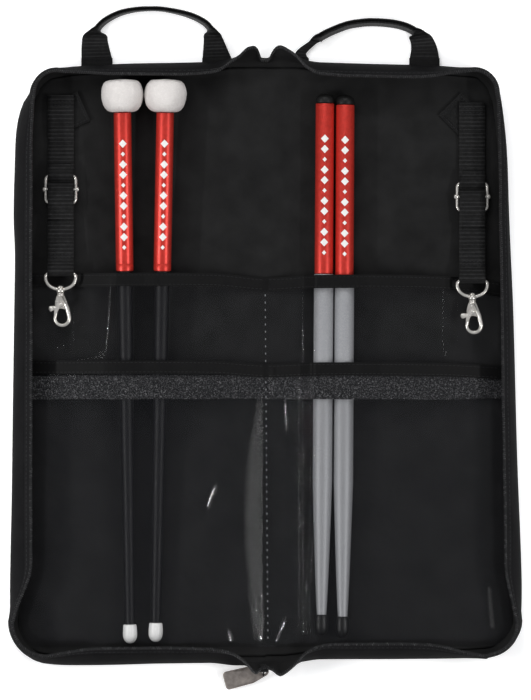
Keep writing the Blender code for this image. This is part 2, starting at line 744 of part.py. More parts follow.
def stick(name, ends):
    """A hard stick: domed butt cap, anodised grip, alloy shaft with a long taper, and nylon tip."""
    cap_r, cap_l = STICK_CAP
    tip_r, tip_l = STICK_TIP
    at, length = stick_frame(ends, STICK_SHAFT[0], STICK_SHAFT[0])
    turned(f"{name}_tip", round_tip(tip_r, tip_l, STICK_SHAFT[1]), "black_nylon", at, 12)
    grip_r, grip_l = STICK_GRIP
    cap_start = length - cap_l
    grip_start = cap_start - grip_l
    shaft = [(STICK_SHAFT[1], tip_l + GAP), (STICK_SHAFT[0], tip_l + STICK_TAPER)]
    shaft.append((STICK_SHAFT[0], grip_start - GAP))
    turned(f"{name}_shaft", shaft, "silver_shaft", at, 14)
    turned(f"{name}_grip", [(grip_r, grip_start), (grip_r, cap_start - GAP)], "red_anodised", at, 16)
    dome = [(cap_r, cap_start), (cap_r, cap_start + cap_l * 0.35)]
    for a in (30, 60):
        turn = math.radians(a)
        dome.append((cap_r * math.cos(turn), cap_start + cap_l * (0.35 + 0.65 * math.sin(turn))))
    turned(f"{name}_cap", [*dome, (0, length)], "black_nylon", at, 16)


def zip_slider_and_pull():
    """The zip's slider on the outside of the end wall, and the flat pull that swings on its post."""
    x, y = PULL_PIVOT
    at = Matrix.Translation((x, y, 0))
    width, depth = ZIP_SLIDER
    outline = round_frame(width, depth, 0.0018)
    slider = plate("zip_slider_body", [outline], ZIP_SLIDER_Z, "black_nylon", at)
    foot_r, foot_z = POST_FOOT
    post_top = (0, 0, ZIP_SLIDER_Z[0] + 0.001)
    post = rod("zip_post", (0, 0, foot_z), post_top, PULL_POST, "black_nylon", at, 12)
    foot = rod("zip_post_foot", (0, 0, foot_z), (0, 0, PULL_Z[0] - GAP), foot_r, "black_nylon", at, 12)
    join(as_mesh(slider), post, foot)
    eye_r, boss_r = PULL_EYE
    half = PULL_WIDTH / 2
    round_end = 0.0028
    pull = arc((0, 0), boss_r, 270, 90, 10)
    pull += [(0.0110, half)]
    pull += arc((PULL_LENGTH - round_end, half - round_end), round_end, 90, 0, 4)
    pull += arc((PULL_LENGTH - round_end, -half + round_end), round_end, 0, -90, 4)
    pull += [(0.0110, -half)]
    turn = at @ Matrix.Rotation(PULL_TURN, 4, "Z")
    plate("zip_pull_tab", [pull[::-1], circle((0, 0), eye_r, 14)], PULL_Z, "gunmetal", turn)


def main():
    clear_scene()
    spine_panels()
    end_wall("spine_top_end_wall", 1, TOP_EARS)
    end_wall("spine_bottom_end_wall", -1, BOTTOM_EARS)
    spine_pockets()
    zip_slider_and_pull()
    for name, side in SIDES.items():
        half_panels(name, side)
        wall(name, side)
        half_pockets(name, side)
        handle(name, side, HANDLES[name])
        shape = STRAPS[name]
        strap_anchor(name, side, shape)
        at = strap_frame(shape, side)
        strap(name, at)
        strap_slider(name, at)
        swivel = hook_ring(name, at)
        hook(name, Matrix.Translation((swivel.x, swivel.y, HOOK_Z)))
    for i, ends in enumerate(MALLETS, 1):
        mallet(f"mallet_{i}", ends)
    for i, ends in enumerate(STICKS, 1):
        stick(f"stick_{i}", ends)


main()
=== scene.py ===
"""The looks of a drum stick bag that lies open like a book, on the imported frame.

Metres, +Z up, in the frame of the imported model. Plan places are (u, y), where u is the distance out from
the middle of the spine and side is -1 on the left half and 1 on the right half.
"""

import math

import bmesh
import bpy
from mathutils import Matrix, Vector, noise


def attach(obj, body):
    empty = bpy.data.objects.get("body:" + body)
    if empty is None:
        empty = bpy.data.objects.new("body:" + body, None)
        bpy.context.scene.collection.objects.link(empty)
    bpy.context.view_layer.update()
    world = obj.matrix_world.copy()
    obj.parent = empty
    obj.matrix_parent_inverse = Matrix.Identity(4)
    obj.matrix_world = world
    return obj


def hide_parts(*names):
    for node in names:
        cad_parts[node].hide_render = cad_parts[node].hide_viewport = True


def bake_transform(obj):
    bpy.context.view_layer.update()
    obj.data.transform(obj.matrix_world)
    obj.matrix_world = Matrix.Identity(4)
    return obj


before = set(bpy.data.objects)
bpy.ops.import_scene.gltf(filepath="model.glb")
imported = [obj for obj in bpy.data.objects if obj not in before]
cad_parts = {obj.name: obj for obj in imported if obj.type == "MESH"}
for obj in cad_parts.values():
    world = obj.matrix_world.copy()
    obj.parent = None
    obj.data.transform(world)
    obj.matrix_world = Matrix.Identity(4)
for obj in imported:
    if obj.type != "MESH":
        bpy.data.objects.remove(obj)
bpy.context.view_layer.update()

UP = Vector((0, 0, 1))
SIDES = {"left": -1, "right": 1}

# The halves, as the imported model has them.
HINGE_U = 0.026
HALF_U = 0.1883
HALF_TAPER = 0.0325
HALF_Y = 0.2265
SPINE_END_Y = 0.2285
TOP_CORNER = 0.024
BOTTOM_CORNER = 0.030
LINING_TOP = 0.0049

# The zip's line, as how far in from the half's edge it runs: (u, inset) along the two ends.
ZIP_TOP = {
    "left": (
        (0.0, -0.0003), (0.0030, -0.0005), (0.0040, -0.0026), (0.0054, -0.0068), (0.0068, -0.0091),
        (0.0088, -0.0099), (0.0110, -0.0096), (0.0144, -0.0083), (0.0191, -0.0036), (0.0268, 0.0019),
        (0.0345, 0.0072), (0.0450, 0.0092), (0.0645, 0.0102), (0.1200, 0.0098), (0.1400, 0.0086),
        (0.1570, 0.0082),
    ),
    "right": (
        (0.0, -0.0003), (0.0024, -0.0004), (0.0034, -0.0026), (0.0050, -0.0058), (0.0070, -0.0085),
        (0.0095, -0.0101), (0.0120, -0.0101), (0.0153, -0.0087), (0.0233, -0.0032), (0.0300, 0.0041),
        (0.0386, 0.0092), (0.0500, 0.0104), (0.0630, 0.0115), (0.1166, 0.0121), (0.1400, 0.0092),
        (0.1560, 0.0074),
    ),
}
ZIP_BOTTOM = {
    "left": (
        (0.0, -0.0030), (0.0036, -0.0042), (0.0064, -0.0068), (0.0100, -0.0052), (0.0147, 0.0005),
        (0.0253, 0.0075), (0.0450, 0.0108), (0.1250, 0.0112), (0.1500, 0.0080), (0.1660, 0.0055),
    ),
    "right": (
        (0.0, -0.0030), (0.0049, -0.0045), (0.0106, -0.0083), (0.0147, -0.0068), (0.0230, 0.0000),
        (0.0313, 0.0085), (0.0500, 0.0140), (0.1250, 0.0138), (0.1500, 0.0085), (0.1660, 0.0055),
    ),
}
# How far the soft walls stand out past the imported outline, at y along a side and at u along an end.
SIDE_SHIFT = {
    "left": (
        (-0.208, -0.0030), (-0.172, -0.0014), (-0.100, -0.0004), (-0.040, 0.0008), (0.060, 0.0026),
        (0.082, 0.0031), (0.110, 0.0050), (0.150, 0.0054), (0.175, 0.0050), (0.192, 0.0018),
        (0.204, -0.0036),
    ),
    "right": (
        (-0.208, -0.0044), (-0.190, -0.0018), (-0.160, -0.0006), (-0.070, -0.0010), (0.040, -0.0004),
        (0.100, -0.0012), (0.160, -0.0020), (0.185, -0.0036), (0.205, -0.0062),
    ),
}
END_SHIFT = {
    ("left", 1): (
        (0.026, 0.0), (0.060, -0.0009), (0.110, -0.0019), (0.145, -0.0040), (0.158, -0.0062),
        (0.175, -0.0058),
    ),
    ("right", 1): ((0.026, -0.0002), (0.070, -0.0016), (0.132, -0.0034), (0.153, -0.0052), (0.170, -0.0062)),
    ("left", -1): (
        (0.026, 0.0002), (0.080, 0.0008), (0.117, 0.0018), (0.154, 0.0019), (0.168, 0.0006),
        (0.180, -0.0010),
    ),
    ("right", -1): (
        (0.014, -0.0006), (0.030, -0.0022), (0.100, -0.0026), (0.150, -0.0032), (0.165, -0.0042),
        (0.180, -0.0055),
    ),
}
# The zip's inset along a side, at its middle and how it shrinks with y, and at each corner.
ZIP_SIDE = {"left": (0.0120, 0.0325), "right": (0.0100, 0.0180)}
ZIP_CORNER = {("left", 1): 0.0076, ("right", 1): 0.0074, ("left", -1): 0.0058, ("right", -1): 0.0068}
# The coil's height along an end, which dips over the spine.
ZIP_HEIGHT = (
    (0.0, 0.0165), (0.0036, 0.0165), (0.0062, 0.0200), (0.0090, 0.0232), (0.0180, 0.0256), (0.0320, 0.0292),
)
COIL_Z = 0.0292
COIL_RADIUS = 0.0008
COIL_PITCH = 0.0015
COIL_WIRE = 0.0003

# The clear pockets: (x, y) points along each mouth, from a left side to the right.
SHEET = 0.0004
FOOT_Z = 0.0055
MOUTH = {
    "rear": (
        (-0.1720, 0.0665), (-0.0400, 0.0668), (0.0, 0.0636), (0.0400, 0.0655), (0.1300, 0.0648),
        (0.1760, 0.0602),
    ),
    "front": (
        (-0.1720, 0.0009), (-0.0400, 0.0009), (0.0, -0.0016), (0.0400, -0.0003), (0.1300, -0.0008),
        (0.1760, -0.0030),
    ),
}
FLOOR_Y = -0.2150
INNER_SLOPE = 0.24
FOLD_U = 0.0285
HOOK_INNER_U = 0.1450
# How far out the left pocket's slightly steeper foot along the spine reaches, at y.
SHOULDER = (
    (-0.215, 0.006), (-0.190, 0.010), (-0.120, 0.0145), (-0.070, 0.012), (-0.030, 0.005), (0.010, 0.0),
)
# Short folds in the front sheets: (start, end, height, width).
FOLDS = (
    ((-0.0385, -0.0900), (-0.0480, -0.1120), 0.00096, 0.0030),
    ((-0.0480, -0.1160), (-0.0465, -0.1520), 0.00050, 0.0030),
    ((-0.0130, -0.1780), (-0.0050, -0.2145), 0.00052, 0.0018),
    ((-0.0088, -0.1770), (-0.0028, -0.2145), 0.00048, 0.0016),
    ((-0.0045, -0.1720), (-0.0006, -0.2145), 0.00042, 0.0014),
    ((-0.0305, -0.1990), (-0.0262, -0.2165), 0.00070, 0.0022),
    ((0.0185, -0.1900), (0.0088, -0.2145), 0.00084, 0.0022),
    ((0.0160, -0.0240), (0.0180, -0.0540), 0.00074, 0.0022),
    ((0.0060, -0.0020), (0.0048, -0.0260), 0.00054, 0.0016),
    ((0.1660, -0.1640), (0.1690, -0.2050), 0.00060, 0.0020),
)
BINDING_WIDTH = 0.0100
TAPE_Y = (-0.0102, -0.0280)
SEAM_X = ((-0.22, 0.0019), (0.07, -0.0004))

# The sticks: (x, y, z) of each axis at its two ends, and its radius as (share from the tip, radius).
MALLET_RADII = ((0.0, 0.0055), (0.04, 0.0048), (0.66, 0.0060), (1.0, 0.0066))
STICK_RADII = ((0.0, 0.0052), (0.05, 0.0040), (0.25, 0.0074), (1.0, 0.0074))
STICKS = {
    "mallet_1": ((-0.1020, -0.2122, 0.0106), (-0.1080, 0.2128, 0.0218), MALLET_RADII),
    "mallet_2": ((-0.0829, -0.2110, 0.0106), (-0.0750, 0.2128, 0.0218), MALLET_RADII),
    "stick_1": ((0.0421, -0.2066, 0.0126), (0.0449, 0.2022, 0.0126), STICK_RADII),
    "stick_2": ((0.0580, -0.2080, 0.0126), (0.0601, 0.2012, 0.0126), STICK_RADII),
}

# The hanging straps: seam at the top, sloping up to the ring of the hook.
STRAP_WIDTH = 0.0200
STRAP_WEB = 0.0012
STRAP_RISE = math.radians(3.9)
STRAP_LENGTH = 0.1350
STRAP_Z = 0.0076
STRAPS = {
    "left": {"u": 0.1543, "y": 0.2010, "patch": (0.1480, 0.1880), "turn": 24.0},
    "right": {"u": 0.1558, "y": 0.1955, "patch": (0.1475, 0.1860), "turn": 45.0},
}
SLIDER_AT = 0.0710
RING_LEVEL = -0.0020
HOOK_Z = 0.0159

# The handles' middle lines, outer leg first, and how wide each leg lies: (at the stitching, at the fold).
HANDLES = {
    "left": {
        "line": (
            (0.1272, 0.2282), (0.1284, 0.2371), (0.1287, 0.2446), (0.1268, 0.2512), (0.1204, 0.2576),
            (0.1099, 0.2630), (0.0985, 0.2656), (0.0872, 0.2664), (0.0759, 0.2658), (0.0608, 0.2626),
            (0.0500, 0.2584), (0.0428, 0.2530), (0.0398, 0.2454), (0.0365, 0.2282),
        ),
        "legs": ((0.0232, 0.0190), (0.0222, 0.0140)),
        "turn": (88.0, 76.0),
        "thick": 0.0028,
    },
    "right": {
        "line": (
            (0.1199, 0.2282), (0.1196, 0.2371), (0.1166, 0.2452), (0.1091, 0.2512), (0.0978, 0.2548),
            (0.0827, 0.2562), (0.0713, 0.2556), (0.0600, 0.2534), (0.0449, 0.2470), (0.0340, 0.2398),
            (0.0268, 0.2332), (0.0282, 0.2282),
        ),
        "legs": ((0.0226, 0.0170), (0.0090, 0.0062)),
        "turn": (74.0, 72.0),
        "thick": 0.0034,
    },
}
# The (y, z) of the line that the handles turn about.
HANDLE_HINGE = (0.2282, 0.0030)

# The ribs of the handles and of the straps, and how finely a band's path is cut.
RIB_PITCH = 0.0026
STRAP_PITCH = 0.0029
PATCH_PITCH = 0.0024
BAND_STEP = 0.0005

# Stitches: (pitch, length, radius of the thread).
BACK_STITCH = (0.0036, 0.0024, 0.00030)
ZIP_STITCH = (0.0034, 0.0022, 0.00022)
BINDING_STITCH = (0.0032, 0.0022, 0.00020)
TAPE_STITCH = (0.0034, 0.0024, 0.00022)
SPINE_STITCH = (0.0055, 0.0016, 0.00040)
STRAP_STITCH = (0.0028, 0.0019, 0.00028)
PATCH_STITCH = (0.0028, 0.0020, 0.00028)


# ---------------------------------------------------------------- small maths


def smooth(t):
    t = min(max(t, 0.0), 1.0)
    return t * t * (3 - 2 * t)


def lerp(a, b, t):
    return a + (b - a) * t


def through(points, x):
    """The height at x of a smooth curve through (x, height) points."""
    if x <= points[0][0]:
        return points[0][1]
    if x >= points[-1][0]:
        return points[-1][1]
    i = max(k for k in range(len(points) - 1) if points[k][0] <= x)

    def slope(k):
        a, b = points[max(k - 1, 0)], points[min(k + 1, len(points) - 1)]
        return (b[1] - a[1]) / (b[0] - a[0])

    (x0, y0), (x1, y1) = points[i], points[i + 1]
    run = x1 - x0
    t = (x - x0) / run
    near = (2 * t**3 - 3 * t**2 + 1) * y0 + (t**3 - 2 * t**2 + t) * slope(i) * run
    return near + (-2 * t**3 + 3 * t**2) * y1 + (t**3 - t**2) * slope(i + 1) * run


def ripple(x, y, scale, seed=0.0):
    """Smooth noise from -1 to 1 over a plan place."""
    return noise.noise(Vector((x / scale, y / scale, seed)))


def side_u(y):
    """How far out the side of a half is at y."""
    return HALF_U - HALF_TAPER * y


def spread_out(start, end, count):
    return [start + (end - start) * (i / count) for i in range(count + 1)]


def spread_pairs(start, end, count):
    return [(lerp(start[0], end[0], i / count), lerp(start[1], end[1], i / count)) for i in range(count + 1)]


def arc(centre, radius, start, end, count):
    """Points of an arc between two angles in degrees."""
    x, y = centre
    turns = [math.radians(start + (end - start) * i / count) for i in range(count + 1)]
    return [(x + radius * math.cos(a), y + radius * math.sin(a)) for a in turns]


def curve_stretch(p0, p1, p2, p3, steps):
    """The stretch from p1 to p2 of a smooth curve through four points, without its end."""
    made = []
    for k in range(steps):
        t = k / steps
        a = 2 * p1 + (p2 - p0) * t + (2 * p0 - 5 * p1 + 4 * p2 - p3) * t * t
        made.append((a + (3 * p1 - p0 - 3 * p2 + p3) * t**3) / 2)
    return made


def curve_through(points, steps):
    """An open smooth curve through points."""
    made = []
    last = len(points) - 1
    for i in range(last):
        made += curve_stretch(*(points[min(max(k, 0), last)] for k in range(i - 1, i + 3)), steps)
    return [*made, points[-1]]


def smooth_loop(points, steps):
    """A closed smooth curve through plane points."""
    count = len(points)
    made = []
    for i in range(count):
        made += curve_stretch(*(Vector(points[(i + k) % count]) for k in (-1, 0, 1, 2)), steps)
    return [tuple(p) for p in made]


def resample(points, step):
    """Even places along a line of points."""
    made = [points[0]]
    left = step
    for a, b in zip(points, points[1:]):
        run = (b - a).length
        while left <= run:
            made.append(a.lerp(b, left / run))
            left += step
        left -= run
    return made


# ---------------------------------------------------------------- meshes


def finish_mesh(name, mesh, materials, angle=40, subdivide=0):
    """An object from a bmesh, smooth except where faces meet at more than an angle in degrees."""
    bmesh.ops.recalc_face_normals(mesh, faces=mesh.faces)
    data = bpy.data.meshes.new(name)
    mesh.to_mesh(data)
    mesh.free()
    for material in materials:
        data.materials.append(material)
    data.shade_smooth()
    data.set_sharp_from_angle(angle=math.radians(angle))
    obj = bpy.data.objects.new(name, data)
    bpy.context.scene.collection.objects.link(obj)
    if subdivide:
        modifier = obj.modifiers.new("subdivide", "SUBSURF")
        modifier.levels = subdivide
        modifier.render_levels = subdivide
        graph = bpy.context.evaluated_depsgraph_get()
        made = bpy.data.meshes.new_from_object(obj.evaluated_get(graph))
        obj.modifiers.clear()
        obj.data = made
    return obj


def label(obj, slot, *nodes):
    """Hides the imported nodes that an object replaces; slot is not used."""
    if nodes:
        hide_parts(*nodes)


def dress(obj, body, slot, *nodes):
    """Hangs an object on a body and hides the imported nodes it replaces."""
    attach(obj, body)
    label(obj, slot, *nodes)


def bend(obj, name, slot, *nodes):
    """Bakes an object's place into its mesh and hides the imported nodes it replaces; name is not used."""
    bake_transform(obj)
    label(obj, slot, *nodes)


def add_rings(mesh, rings, joined=False, paint=None, tone=None):
    """Faces between rings of points: paint(i) picks the material at place i, and tone(k) that of span k."""
    loops = [[mesh.verts.new(p) for p in ring] for ring in rings]
    count = len(loops[0])
    spans = list(zip(loops, loops[1:]))
    if joined:
        spans.append((loops[-1], loops[0]))
    for k, (here, there) in enumerate(spans):
        for i in range(count):
            j = (i + 1) % count
            face = mesh.faces.new((here[i], here[j], there[j], there[i]))
            if paint:
                face.material_index = paint(i)
            if tone:
                face.material_index = tone(k)
    if not joined:
        mesh.faces.new(loops[0])
        mesh.faces.new(loops[-1])


def rings_object(name, rings, materials, paint=None, angle=40, tone=None):
    mesh = bmesh.new()
    add_rings(mesh, rings, paint=paint, tone=tone)
    return finish_mesh(name, mesh, materials, angle)


def thin_grid(name, top, bottom, materials, angle=60):
    """A closed sheet between two equal grids of points."""
    mesh = bmesh.new()
    rows, columns = len(top), len(top[0])
    upper = [[mesh.verts.new(p) for p in row] for row in top]
    lower = [[mesh.verts.new(p) for p in row] for row in bottom]
    for i in range(rows - 1):
        for j in range(columns - 1):
            mesh.faces.new((upper[i][j], upper[i][j + 1], upper[i + 1][j + 1], upper[i + 1][j]))
            mesh.faces.new((lower[i][j], lower[i + 1][j], lower[i + 1][j + 1], lower[i][j + 1]))
    rim = [(i, 0) for i in range(rows)] + [(rows - 1, j) for j in range(1, columns)]
    rim += [(i, columns - 1) for i in range(rows - 2, -1, -1)] + [(0, j) for j in range(columns - 2, 0, -1)]
    for (i, j), (k, m) in zip(rim, rim[1:] + rim[:1]):
        mesh.faces.new((upper[i][j], upper[k][m], lower[k][m], lower[i][j]))
    return finish_mesh(name, mesh, materials, angle)


def tube_rings(points, radius, sides, closed=False, flat=1.0, up=UP):
    """Rings of a round or flattened bar along points. radius is one number, or one for each point."""
    rings = []
    count = len(points)
    for i, point in enumerate(points):
        if closed:
            along = points[(i + 1) % count] - points[i - 1]
        else:
            along = points[min(i + 1, count - 1)] - points[max(i - 1, 0)]
        along.normalize()
        across = along.cross(up).normalized()
        over = across.cross(along)
        r = radius[i] if isinstance(radius, (list, tuple)) else radius
        turns = [2 * math.pi * k / sides for k in range(sides)]
        rings.append([point + r * (math.cos(a) * across + flat * math.sin(a) * over) for a in turns])
    return rings


def add_tube(mesh, points, radius, sides, closed=False, flat=1.0, up=UP):
    add_rings(mesh, tube_rings(points, radius, sides, closed, flat, up), joined=closed)


def add_turned(mesh, profile, at, segments):
    """A solid of revolution about the Y axis of a frame, from (radius, y) points."""
    rings = []
    for radius, y in profile:
        turns = [2 * math.pi * i / segments for i in range(segments)]
        if radius == 0:
            rings.append([mesh.verts.new(at @ Vector((0, y, 0)))])
        else:
            spokes = [Vector((radius * math.cos(a), y, radius * math.sin(a))) for a in turns]
            rings.append([mesh.verts.new(at @ p) for p in spokes])
    for here, there in zip(rings, rings[1:]):
        for i in range(segments):
            j = (i + 1) % segments
            corners = [ring[k % len(ring)] for ring, k in ((here, i), (here, j), (there, j), (there, i))]
            mesh.faces.new(dict.fromkeys(corners))
    for end in (rings[0], rings[-1]):
        if len(end) > 1:
            mesh.faces.new(end)


def add_stitch(mesh, start, end, radius):
    """One stitch: a short rounded bead of thread from start to end."""
    along = end - start
    points = [start + along * t for t in (0.0, 0.18, 0.5, 0.82, 1.0)]
    radii = [radius * r for r in (0.35, 0.85, 1.0, 0.85, 0.35)]
    add_tube(mesh, points, radii, 6)


def stitching(name, lines, kind, material=None):
    """An object of stitches of one kind along lines of points."""
    mesh = bmesh.new()
    for line in lines:
        add_stitches(mesh, line, *kind)
    return finish_mesh(name, mesh, [material or THREAD])


def add_stitches(mesh, points, pitch, length, radius):
    """Stitches at a pitch along a line of points."""
    left = pitch / 2
    for a, b in zip(points, points[1:]):
        run = (b - a).length
        if run == 0:
            continue
        along = (b - a) / run
        while left < run:
            middle = a + along * left
            add_stitch(mesh, middle - along * length / 2, middle + along * length / 2, radius)
            left += pitch
        left -= run


# ---------------------------------------------------------------- materials


class Look:
    """A Principled material and the procedural detail laid over it. Sizes are in metres."""

    def __init__(self, name, colour, roughness, **values):
        self.material = bpy.data.materials.new(name)
        self.material.use_nodes = True
        self.nodes = self.material.node_tree.nodes
        self.links = self.material.node_tree.links
        self.shader = self.nodes["Principled BSDF"]
        self.shader.inputs["Base Color"].default_value = (*colour, 1)
        self.shader.inputs["Roughness"].default_value = roughness
        for key, value in values.items():
            self.shader.inputs[key.replace("_", " ")].default_value = value
        self.place = self.nodes.new("ShaderNodeTexCoord").outputs["Object"]

    def noise(self, scale, detail=4.0, rough=0.55):
        """Noise with so many lumps to a metre."""
        made = self.nodes.new("ShaderNodeTexNoise")
        made.inputs["Scale"].default_value = scale
        made.inputs["Detail"].default_value = detail
        made.inputs["Roughness"].default_value = rough
        self.links.new(self.place, made.inputs["Vector"])
        return made.outputs["Fac"]

    def wave(self, period, axis):
        """Even bands across an axis."""
        made = self.nodes.new("ShaderNodeTexWave")
        made.wave_type = "BANDS"
        made.bands_direction = axis
        made.inputs["Scale"].default_value = math.pi / 10 / period
        self.links.new(self.place, made.inputs["Vector"])
        return made.outputs["Fac"]

    def work_out(self, kind, a, b):
        made = self.nodes.new("ShaderNodeMath")
        made.operation = kind
        for socket, value in zip(made.inputs, (a, b)):
            if isinstance(value, float):
                socket.default_value = value
            else:
                self.links.new(value, socket)
        return made.outputs[0]

    def total(self, *parts):
        """The sum of (output, share) parts."""
        terms = [self.work_out("MULTIPLY", output, share) for output, share in parts]
        made = terms[0]
        for term in terms[1:]:
            made = self.work_out("ADD", made, term)
        return made

    def ramp(self, value, stops, socket="Base Color"):
        """Runs a value through (place, colour) stops into one of the shader's inputs."""
        made = self.nodes.new("ShaderNodeValToRGB")
        while len(made.color_ramp.elements) < len(stops):
            made.color_ramp.elements.new(0.5)
        for element, (place, colour) in zip(made.color_ramp.elements, stops):
            element.position = place
            element.color = (*colour, 1)
        self.links.new(value, made.inputs["Fac"])
        self.links.new(made.outputs["Color"], self.shader.inputs[socket])

    def bump(self, height, distance, strength=1.0):
        made = self.nodes.new("ShaderNodeBump")
        made.inputs["Distance"].default_value = distance
        made.inputs["Strength"].default_value = strength
        self.links.new(height, made.inputs["Height"])
        self.links.new(made.outputs["Normal"], self.shader.inputs["Normal"])


def tint(colour, share):
    return tuple(c * share for c in colour)


def shades(colour, low, high, dark, light_share):
    """Two stops: the colour darkened at low, and lightened at high."""
    return ((low, tint(colour, dark)), (high, tint(colour, light_share)))


def cloth(name, colour, roughness, thread, wrinkle, gloss, relief=0.00010):
    """Woven cloth: crossed threads, soft creases, uneven dye and a faint sheen."""
    look = Look(name, colour, roughness, Sheen_Weight=gloss * 0.12, Specular_IOR_Level=gloss)
    warp = look.wave(thread, "X")
    weft = look.wave(thread * 1.1, "Y")
    rise = look.wave(thread, "Z")
    weave = look.total((look.work_out("MAXIMUM", warp, weft), 0.5), (rise, 0.2))
    crease = look.noise(26.0, 3.0)
    fuzz = look.noise(900.0, 2.0)
    look.bump(look.total((weave, relief), (crease, wrinkle), (fuzz, relief)), 1.0, 0.8)
    dye = look.noise(60.0, 3.0, 0.5)
    look.ramp(look.total((dye, 0.7), (weave, 0.3)), shades(colour, 0.25, 0.75, 0.65, 1.35))
    return look.material


def webbing(name, colour, axis="Y", cross="X"):
    """Ribbed tape: ribs across it, with fine threads along it."""
    look = Look(name, colour, 0.55, Sheen_Weight=0.014, Specular_IOR_Level=0.15)
    threads = look.work_out("ADD", look.wave(0.0009, cross), look.wave(0.0008, axis))
    look.bump(look.total((threads, 0.00006), (look.noise(1200.0, 2.0), 0.00008)), 1.0, 0.9)
    look.ramp(look.noise(400.0, 4.0), shades(colour, 0.3, 0.72, 0.7, 1.5))
    return look.material


def plain(name, colour, roughness, grain=0.0, scale=300.0, spread=0.15, **values):
    """A smooth moulded, painted or metal surface with uneven polish."""
    look = Look(name, colour, roughness, **values)
    shade = look.noise(scale, 5.0)
    look.ramp(shade, shades(colour, 0.3, 0.7, 1 - spread, 1 + spread))
    look.ramp(shade, shades((roughness,) * 3, 0.3, 0.7, 0.8, 1.2), "Roughness")
    if grain:
        look.bump(look.noise(scale * 4, 3.0), grain)
    return look.material


def pile_cloth(name, colour, bright, scale, depth):
    """Fuzzy cloth: a soft uneven pile with lighter fibre ends."""
    look = Look(name, colour, 0.95, Sheen_Weight=0.05, Specular_IOR_Level=0.2)
    fibres = look.noise(scale, 8.0, 0.8)
    between = tuple(lerp(a, b, 0.22) for a, b in zip(colour, bright))
    look.ramp(fibres, ((0.50, colour), (0.58, between), (0.70, bright)))
    look.bump(fibres, depth)
    return look.material


def clear_vinyl(name):
    """Clear PVC: see-through, glossy, faintly hazy, with shallow dents that break up its highlights."""
    look = Look(name, (0.014, 0.0145, 0.018), 0.05, Alpha=0.05, IOR=1.9)
    look.ramp(look.noise(60.0, 1.0), ((0.35, (0.03,) * 3), (0.75, (0.08,) * 3)), "Roughness")
    look.bump(look.noise(30.0, 3.0, 0.5), 0.0004, 0.4)
    look.material.surface_render_method = "BLENDED"
    return look.material


NYLON = cloth("black_nylon_cloth", (0.0054, 0.0054, 0.0058), 0.75, 0.0007, 0.0012, 0.03)
LINING = cloth("black_lining_cloth", (0.0120, 0.0120, 0.0121), 0.75, 0.0005, 0.0034, 0.06, relief=0.00003)
TAPE_CLOTH = cloth("zip_tape_cloth", (0.0070, 0.0070, 0.0075), 0.65, 0.0006, 0.0003, 0.08)
WEBBING = webbing("black_webbing", (0.0048, 0.0048, 0.0049))
# A lighter copy of the webbing for the rib tops: a painted highlight.
RIB_HIGHLIGHT = webbing("black_webbing_rib_highlight", (0.0125, 0.0125, 0.0127))
# Near-black webbing for the strap where it runs under the slider's top bar: painted shade.
PAINTED_SHADE = webbing("black_webbing_painted_shade", (0.0012, 0.0012, 0.0012))
GROSGRAIN = webbing("black_grosgrain", (0.0022, 0.0022, 0.0023), "X", "Y")
VINYL = clear_vinyl("clear_vinyl")
PILE = pile_cloth("loop_pile", (0.0085, 0.0085, 0.0093), (0.36, 0.36, 0.37), 850.0, 0.0010)
FELT = pile_cloth("white_felt", (0.64, 0.61, 0.59), (0.80, 0.77, 0.745), 700.0, 0.0006)
NICKEL = plain("nickel_plate", (0.74, 0.715, 0.67), 0.24, 0.00002, 300.0, 0.05, Metallic=0.72)
GUNMETAL = plain("gunmetal_plate", (0.40, 0.355, 0.325), 0.34, 0.00012, 260.0, 0.22, Metallic=0.75)
# The coil's dark grey is lighter than the black cloth: partly its own colour, partly a painted highlight for
# the zip's glinting line.
COIL = plain("zip_coil_nylon", (0.030, 0.030, 0.031), 0.26, spread=0.2)
RED = plain("red_anodising", (0.56, 0.036, 0.025), 0.38, 0.0, 420.0, 0.10, Metallic=0.5)
DARK_COAT = (0.006, 0.006, 0.007)
BLACK_SHAFT = plain("black_shaft_coat", DARK_COAT, 0.50, 0.0, 260.0, 0.25, Specular_IOR_Level=0.22)
SILVER_SHAFT = plain("grey_alloy_coat", (0.385, 0.39, 0.405), 0.56, 0.0, 900.0, 0.12, Metallic=0.45)
WHITE_NYLON = plain("white_nylon", (0.90, 0.90, 0.89), 0.34, 0.00003, 200.0, 0.05)
BLACK_NYLON = plain("black_nylon", (0.006, 0.006, 0.006), 0.42, 0.0, 260.0, 0.2, Specular_IOR_Level=0.35)
THREAD = plain("black_thread", (0.012, 0.012, 0.013), 0.6, 0.00005, 900.0, 0.3, Specular_IOR_Level=0.3)
# A pale thread for the spine's stitches, as painted glints.
GLINT_THREAD = plain("thread_painted_glint", (0.18, 0.18, 0.19), 0.5, 0.00005, 900.0, 0.25)
PRINT = plain("white_print", (0.70, 0.70, 0.68), 0.45, 0.0, 400.0, 0.04)


# ---------------------------------------------------------------- the line round a half


def base_y(u):
    """How far out the outer edge of an end is at u: the spine stands a little past the halves."""
    return lerp(SPINE_END_Y, HALF_Y, smooth((u - 0.022) / 0.020))


def settle(name, p):
    """Moves a place near a half's edge to where the soft edge really runs."""
    side = SIDES[name]
    way = 1 if p.y > 0 else -1
    from_side = side_u(p.y) - p.x * side
    from_end = HALF_Y - abs(p.y)
    out = through(SIDE_SHIFT[name], p.y) * smooth(1 - from_side / 0.03)
    along = through(END_SHIFT[name, way], p.x * side) * smooth(1 - from_end / 0.03)
    return Vector((p.x + side * out, p.y + way * along, p.z))


